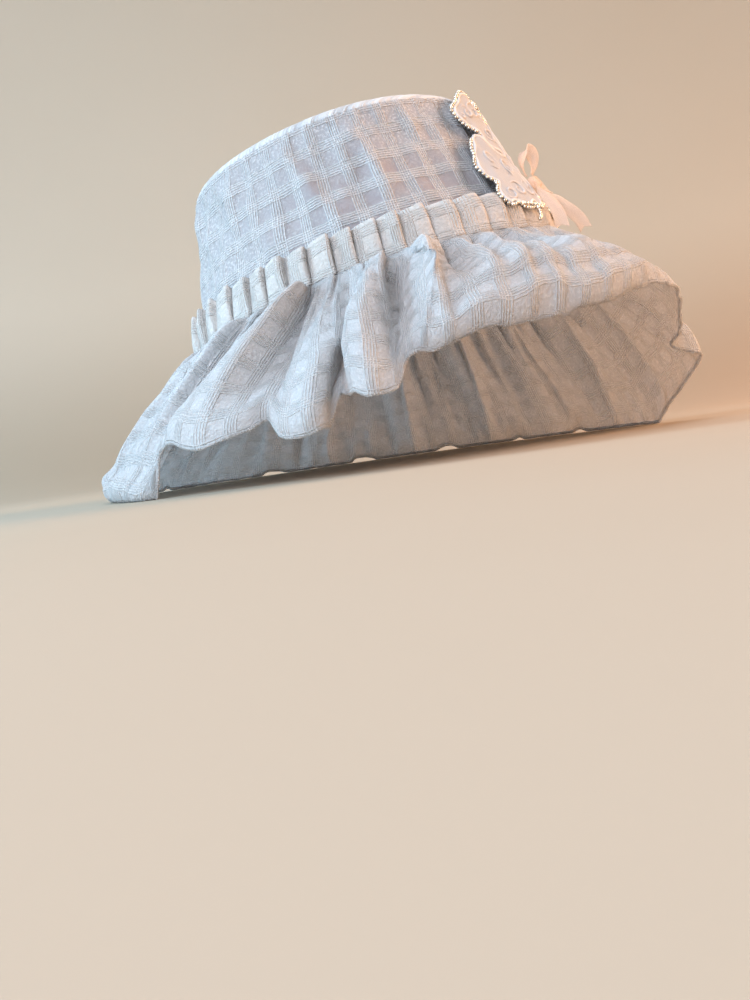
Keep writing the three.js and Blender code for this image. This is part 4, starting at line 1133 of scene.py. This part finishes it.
def embroidery(name, scrolls, side):
    for number, (centre, size, turns, start, lean) in enumerate(scrolls):
        flat = scroll(centre, size, turns, start, lean) * (side, 1)
        path = applique_point(*flat.T, 0.3 + panel_ripple(*flat.T))
        width = 0.75 * np.sin(np.linspace(0.25, 2.9, len(path)))
        tube(f"{name}_scroll_{number + 1}", path, width, 7, FLOSS, False)


def applique_body():
    count, sides = 26, 14
    along = -np.cos(np.linspace(0.12, math.pi - 0.12, count))
    y = 21.0 * along
    girth = np.sqrt(1 - along ** 2) * (1 + 0.10 * np.sin(np.arange(count) * 2.1))
    back = 0.55 - panel_stand(APPLIQUE_HEIGHT + y * math.cos(CROWN_SLOPE))
    middle, half = (1.6 + back) / 2, (1.6 - back) / 2
    angle = ring_angles(sides)
    x = 2.0 * girth[:, None] * np.cos(angle)[None, :]
    lift = middle[:, None] + (half * girth)[:, None] * np.sin(angle)[None, :]
    points = applique_point(x, y[:, None] + 0 * x, lift)
    uv = grid_uv(np.arange(count) * 0.1, np.arange(sides + 1) * 0.1)
    piece = grid_mesh("wing_body_floss", points, uv, FLOSS, False, close_rows=True)
    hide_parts("wing_body")


# Ribbon bow

RIBBON_TWIST = math.radians(58)


def ribbon(name, route, returns):
    count, lanes = 60, 9
    flat = spline(np.array(route), count, False)
    path = applique_point(flat[:, 0], flat[:, 1], flat[:, 2])
    outwards = applique_point(KNOT_X, KNOT_Y, 1.0) - applique_point(KNOT_X, KNOT_Y, 0.0)
    outwards /= np.linalg.norm(outwards)
    tangent = np.gradient(path, axis=0)
    tangent /= np.linalg.norm(tangent, axis=-1, keepdims=True)
    across = np.cross(tangent, outwards)
    across /= np.linalg.norm(across, axis=-1, keepdims=True)
    through = np.cross(tangent, across)
    t = np.linspace(0, 1, count)
    from_knot = np.minimum(t, 1 - t) if returns else t
    half = (3 + 4 * smooth(from_knot * 2.5)) / 2
    twist = (RIBBON_TWIST * smooth(from_knot * 3))[:, None]
    across, through = (across * np.cos(twist) + through * np.sin(twist),
                       through * np.cos(twist) - across * np.sin(twist))
    lane = np.linspace(-1, 1, lanes)
    curl = 0.55 * (lane ** 2)[None, :] * np.sin(t * 5)[:, None]
    curl = curl + 0.3 * np.sin(lane * 5)[None, :] * (1 - from_knot)[:, None]
    points = (path[:, None] + across[:, None] * (half[:, None] * lane[None, :])[..., None]
              + through[:, None] * curl[..., None])
    if not returns:
        slant = 2.2 * np.abs(lane) * smooth((t[:, None] - 0.86) / 0.14)
        points = points + tangent[:, None] * slant[..., None] * 0.8
    uv = grid_uv(t * 4, lane * 0.26)
    piece = grid_mesh(name + "_ribbon", points, uv, RIBBON, False, solid=0.25)
    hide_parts(name)


def bow_knot():
    count, sides = 12, 16
    level = np.linspace(-0.94, 0.94, count)
    girth = np.sqrt(1 - level ** 2) * (1 + 0.06 * np.cos(level * 9))
    angle = ring_angles(sides)
    pleated = 1 + 0.08 * np.sin(angle * 5)
    x = KNOT_X + 2.3 * girth[:, None] * (pleated * np.cos(angle))[None, :]
    lift = KNOT_LIFT + 2.2 * girth[:, None] * (pleated * np.sin(angle))[None, :]
    points = applique_point(x, (KNOT_Y + 3.6 * level)[:, None] + 0 * x, lift)
    uv = grid_uv(np.arange(count) * 0.05, np.arange(sides + 1) * 0.05)
    piece = grid_mesh("bow_knot_ribbon", points, uv, RIBBON, False, close_rows=True)
    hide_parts("bow_knot")


# Studio

def studio():
    n = Nodes("studio_paper")
    place = n.add("TexCoord").outputs["Object"]
    cloudy = n.noise(place, 2.0, 3.0)
    split = n.add("SeparateXYZ", {0: place})
    # The paper is darker on the floor than up the wall, evening out the stronger light on the floor; it
    # turns warm orange towards the right as painted light, the warm lamp's glow on that side.
    level = n.step(split.outputs[2], 0.0, 0.3)
    sideways = n.step(n.sideways(split), -0.7, 0.9)
    floor = n.mix(sideways, (0.33, 0.315, 0.255), (0.38, 0.245, 0.15))
    wall = n.mix(sideways, (0.50, 0.495, 0.43), (0.51, 0.39, 0.275))
    colour = n.mix(level, floor, wall)
    colour = n.mix(cloudy, colour, n.mix(0.06, colour, (1.0, 1.0, 1.0)))
    plain = {"Base Color": colour, "Roughness": 0.9, "Specular IOR Level": 0.1}
    paper = n.surface(n.add("BsdfPrincipled", plain).outputs[0])
    columns = 96
    slope = np.linspace(0, 1, 30)
    radius = np.concatenate([np.linspace(1, 590, 6), 600 + 1400 * np.sin(slope * math.pi / 2), [2000]])
    height = np.concatenate([np.zeros(6), 1700 * (1 - np.cos(slope * math.pi / 2)) ** 1.25, [2800]])
    angle = ring_angles(columns)
    points = np.stack([radius[None, :] * np.sin(angle)[:, None], -radius[None, :] * np.cos(angle)[:, None],
                       height[None, :] + 0 * angle[:, None]], -1)
    faces = grid_faces(columns, len(radius), True)[0]
    mesh = plain_mesh("studio_floor", points.reshape(-1, 3), faces.tolist())
    mesh.materials.append(paper)
    linked("studio_floor", mesh)


CAMERA_PLACE = Vector((-565.1, -457.6, 15.0)) * MM
CAMERA_FORWARD = Vector((0.7629, 0.6449, -0.0456)).normalized()
CAMERA_UP = Vector((0.1243, -0.0772, 0.9892))


def camera():
    """The camera at the photo's angle; gives its direction to the right."""
    right = CAMERA_FORWARD.cross(CAMERA_UP).normalized()
    up = right.cross(CAMERA_FORWARD).normalized()
    data = bpy.data.cameras.new("main_camera")
    data.lens = 50
    data.sensor_width = 36
    data.clip_start = 0.02
    data.clip_end = 50
    made = linked("main_camera", data)
    made.matrix_world = Matrix((
        (right.x, up.x, -CAMERA_FORWARD.x, CAMERA_PLACE.x),
        (right.y, up.y, -CAMERA_FORWARD.y, CAMERA_PLACE.y),
        (right.z, up.z, -CAMERA_FORWARD.z, CAMERA_PLACE.z),
        (0, 0, 0, 1),
    ))
    bpy.context.scene.camera = made
    return right


def lamp(name, place, aim, size, power, colour):
    data = bpy.data.lights.new(name, "AREA")
    data.shape = "DISK"
    data.size = size
    data.energy = power
    data.color = colour
    made = linked(name, data)
    made.location = place
    made.rotation_euler = (Vector(aim) - Vector(place)).to_track_quat("-Z", "Y").to_euler()
    made.visible_camera = False


# Lamps: name, place to the right of the hat's middle, beyond it and above it in metres, size, power, colour
LAMPS = [
    ("window_left", -1.2, -0.1, 0.4, 0.6, 21, (0.42, 0.74, 1.0)),
    ("fill_front", -0.55, -1.25, 0.45, 1.1, 29, (0.68, 0.80, 0.98)),
    ("warm_right", 1.15, 0.1, 0.45, 0.9, 25, (0.98, 0.56, 0.31)),
    ("soft_top", 0.1, 0.3, 1.9, 2.2, 31, (0.95, 0.94, 0.97)),
]


def lights(right):
    middle = Vector((0, 0, 0.09))
    level = Vector((CAMERA_FORWARD.x, CAMERA_FORWARD.y, 0)).normalized()
    side = Vector((right.x, right.y, 0)).normalized()
    for name, aside, beyond, above, size, power, colour in LAMPS:
        place = middle + side * aside + level * beyond + Vector((0, 0, above))
        lamp(name, place, middle, size, power, colour)
    world = bpy.data.worlds.new("studio_world")
    world.use_nodes = True
    background = world.node_tree.nodes["Background"]
    background.inputs["Color"].default_value = (0.5, 0.7, 1.0, 1)
    background.inputs["Strength"].default_value = 0.10
    bpy.context.scene.world = world


crown_side()
crown_top()
crown_lining()
header_frill()
brim()
for place, side in (("near", -1), ("far", 1)):
    for pair, table, first, last, scrolls in (
        ("upper", UPPER_PANEL, 0.2, 0.78, UPPER_SCROLLS),
        ("lower", LOWER_PANEL, 0.24, 0.84, LOWER_SCROLLS),
    ):
        panel(f"wing_{pair}_{place}", table, side)
        embroidery(f"wing_{pair}_{place}", scrolls, side)
        bead_edge(f"beads_{pair}_{place}", table, side, first, last)
applique_body()
for name, route in BOW_ROUTES.items():
    ribbon(name, route, name.startswith("bow_loop"))
bow_knot()
studio()
lights(camera())
bpy.context.scene.view_settings.view_transform = "Standard"
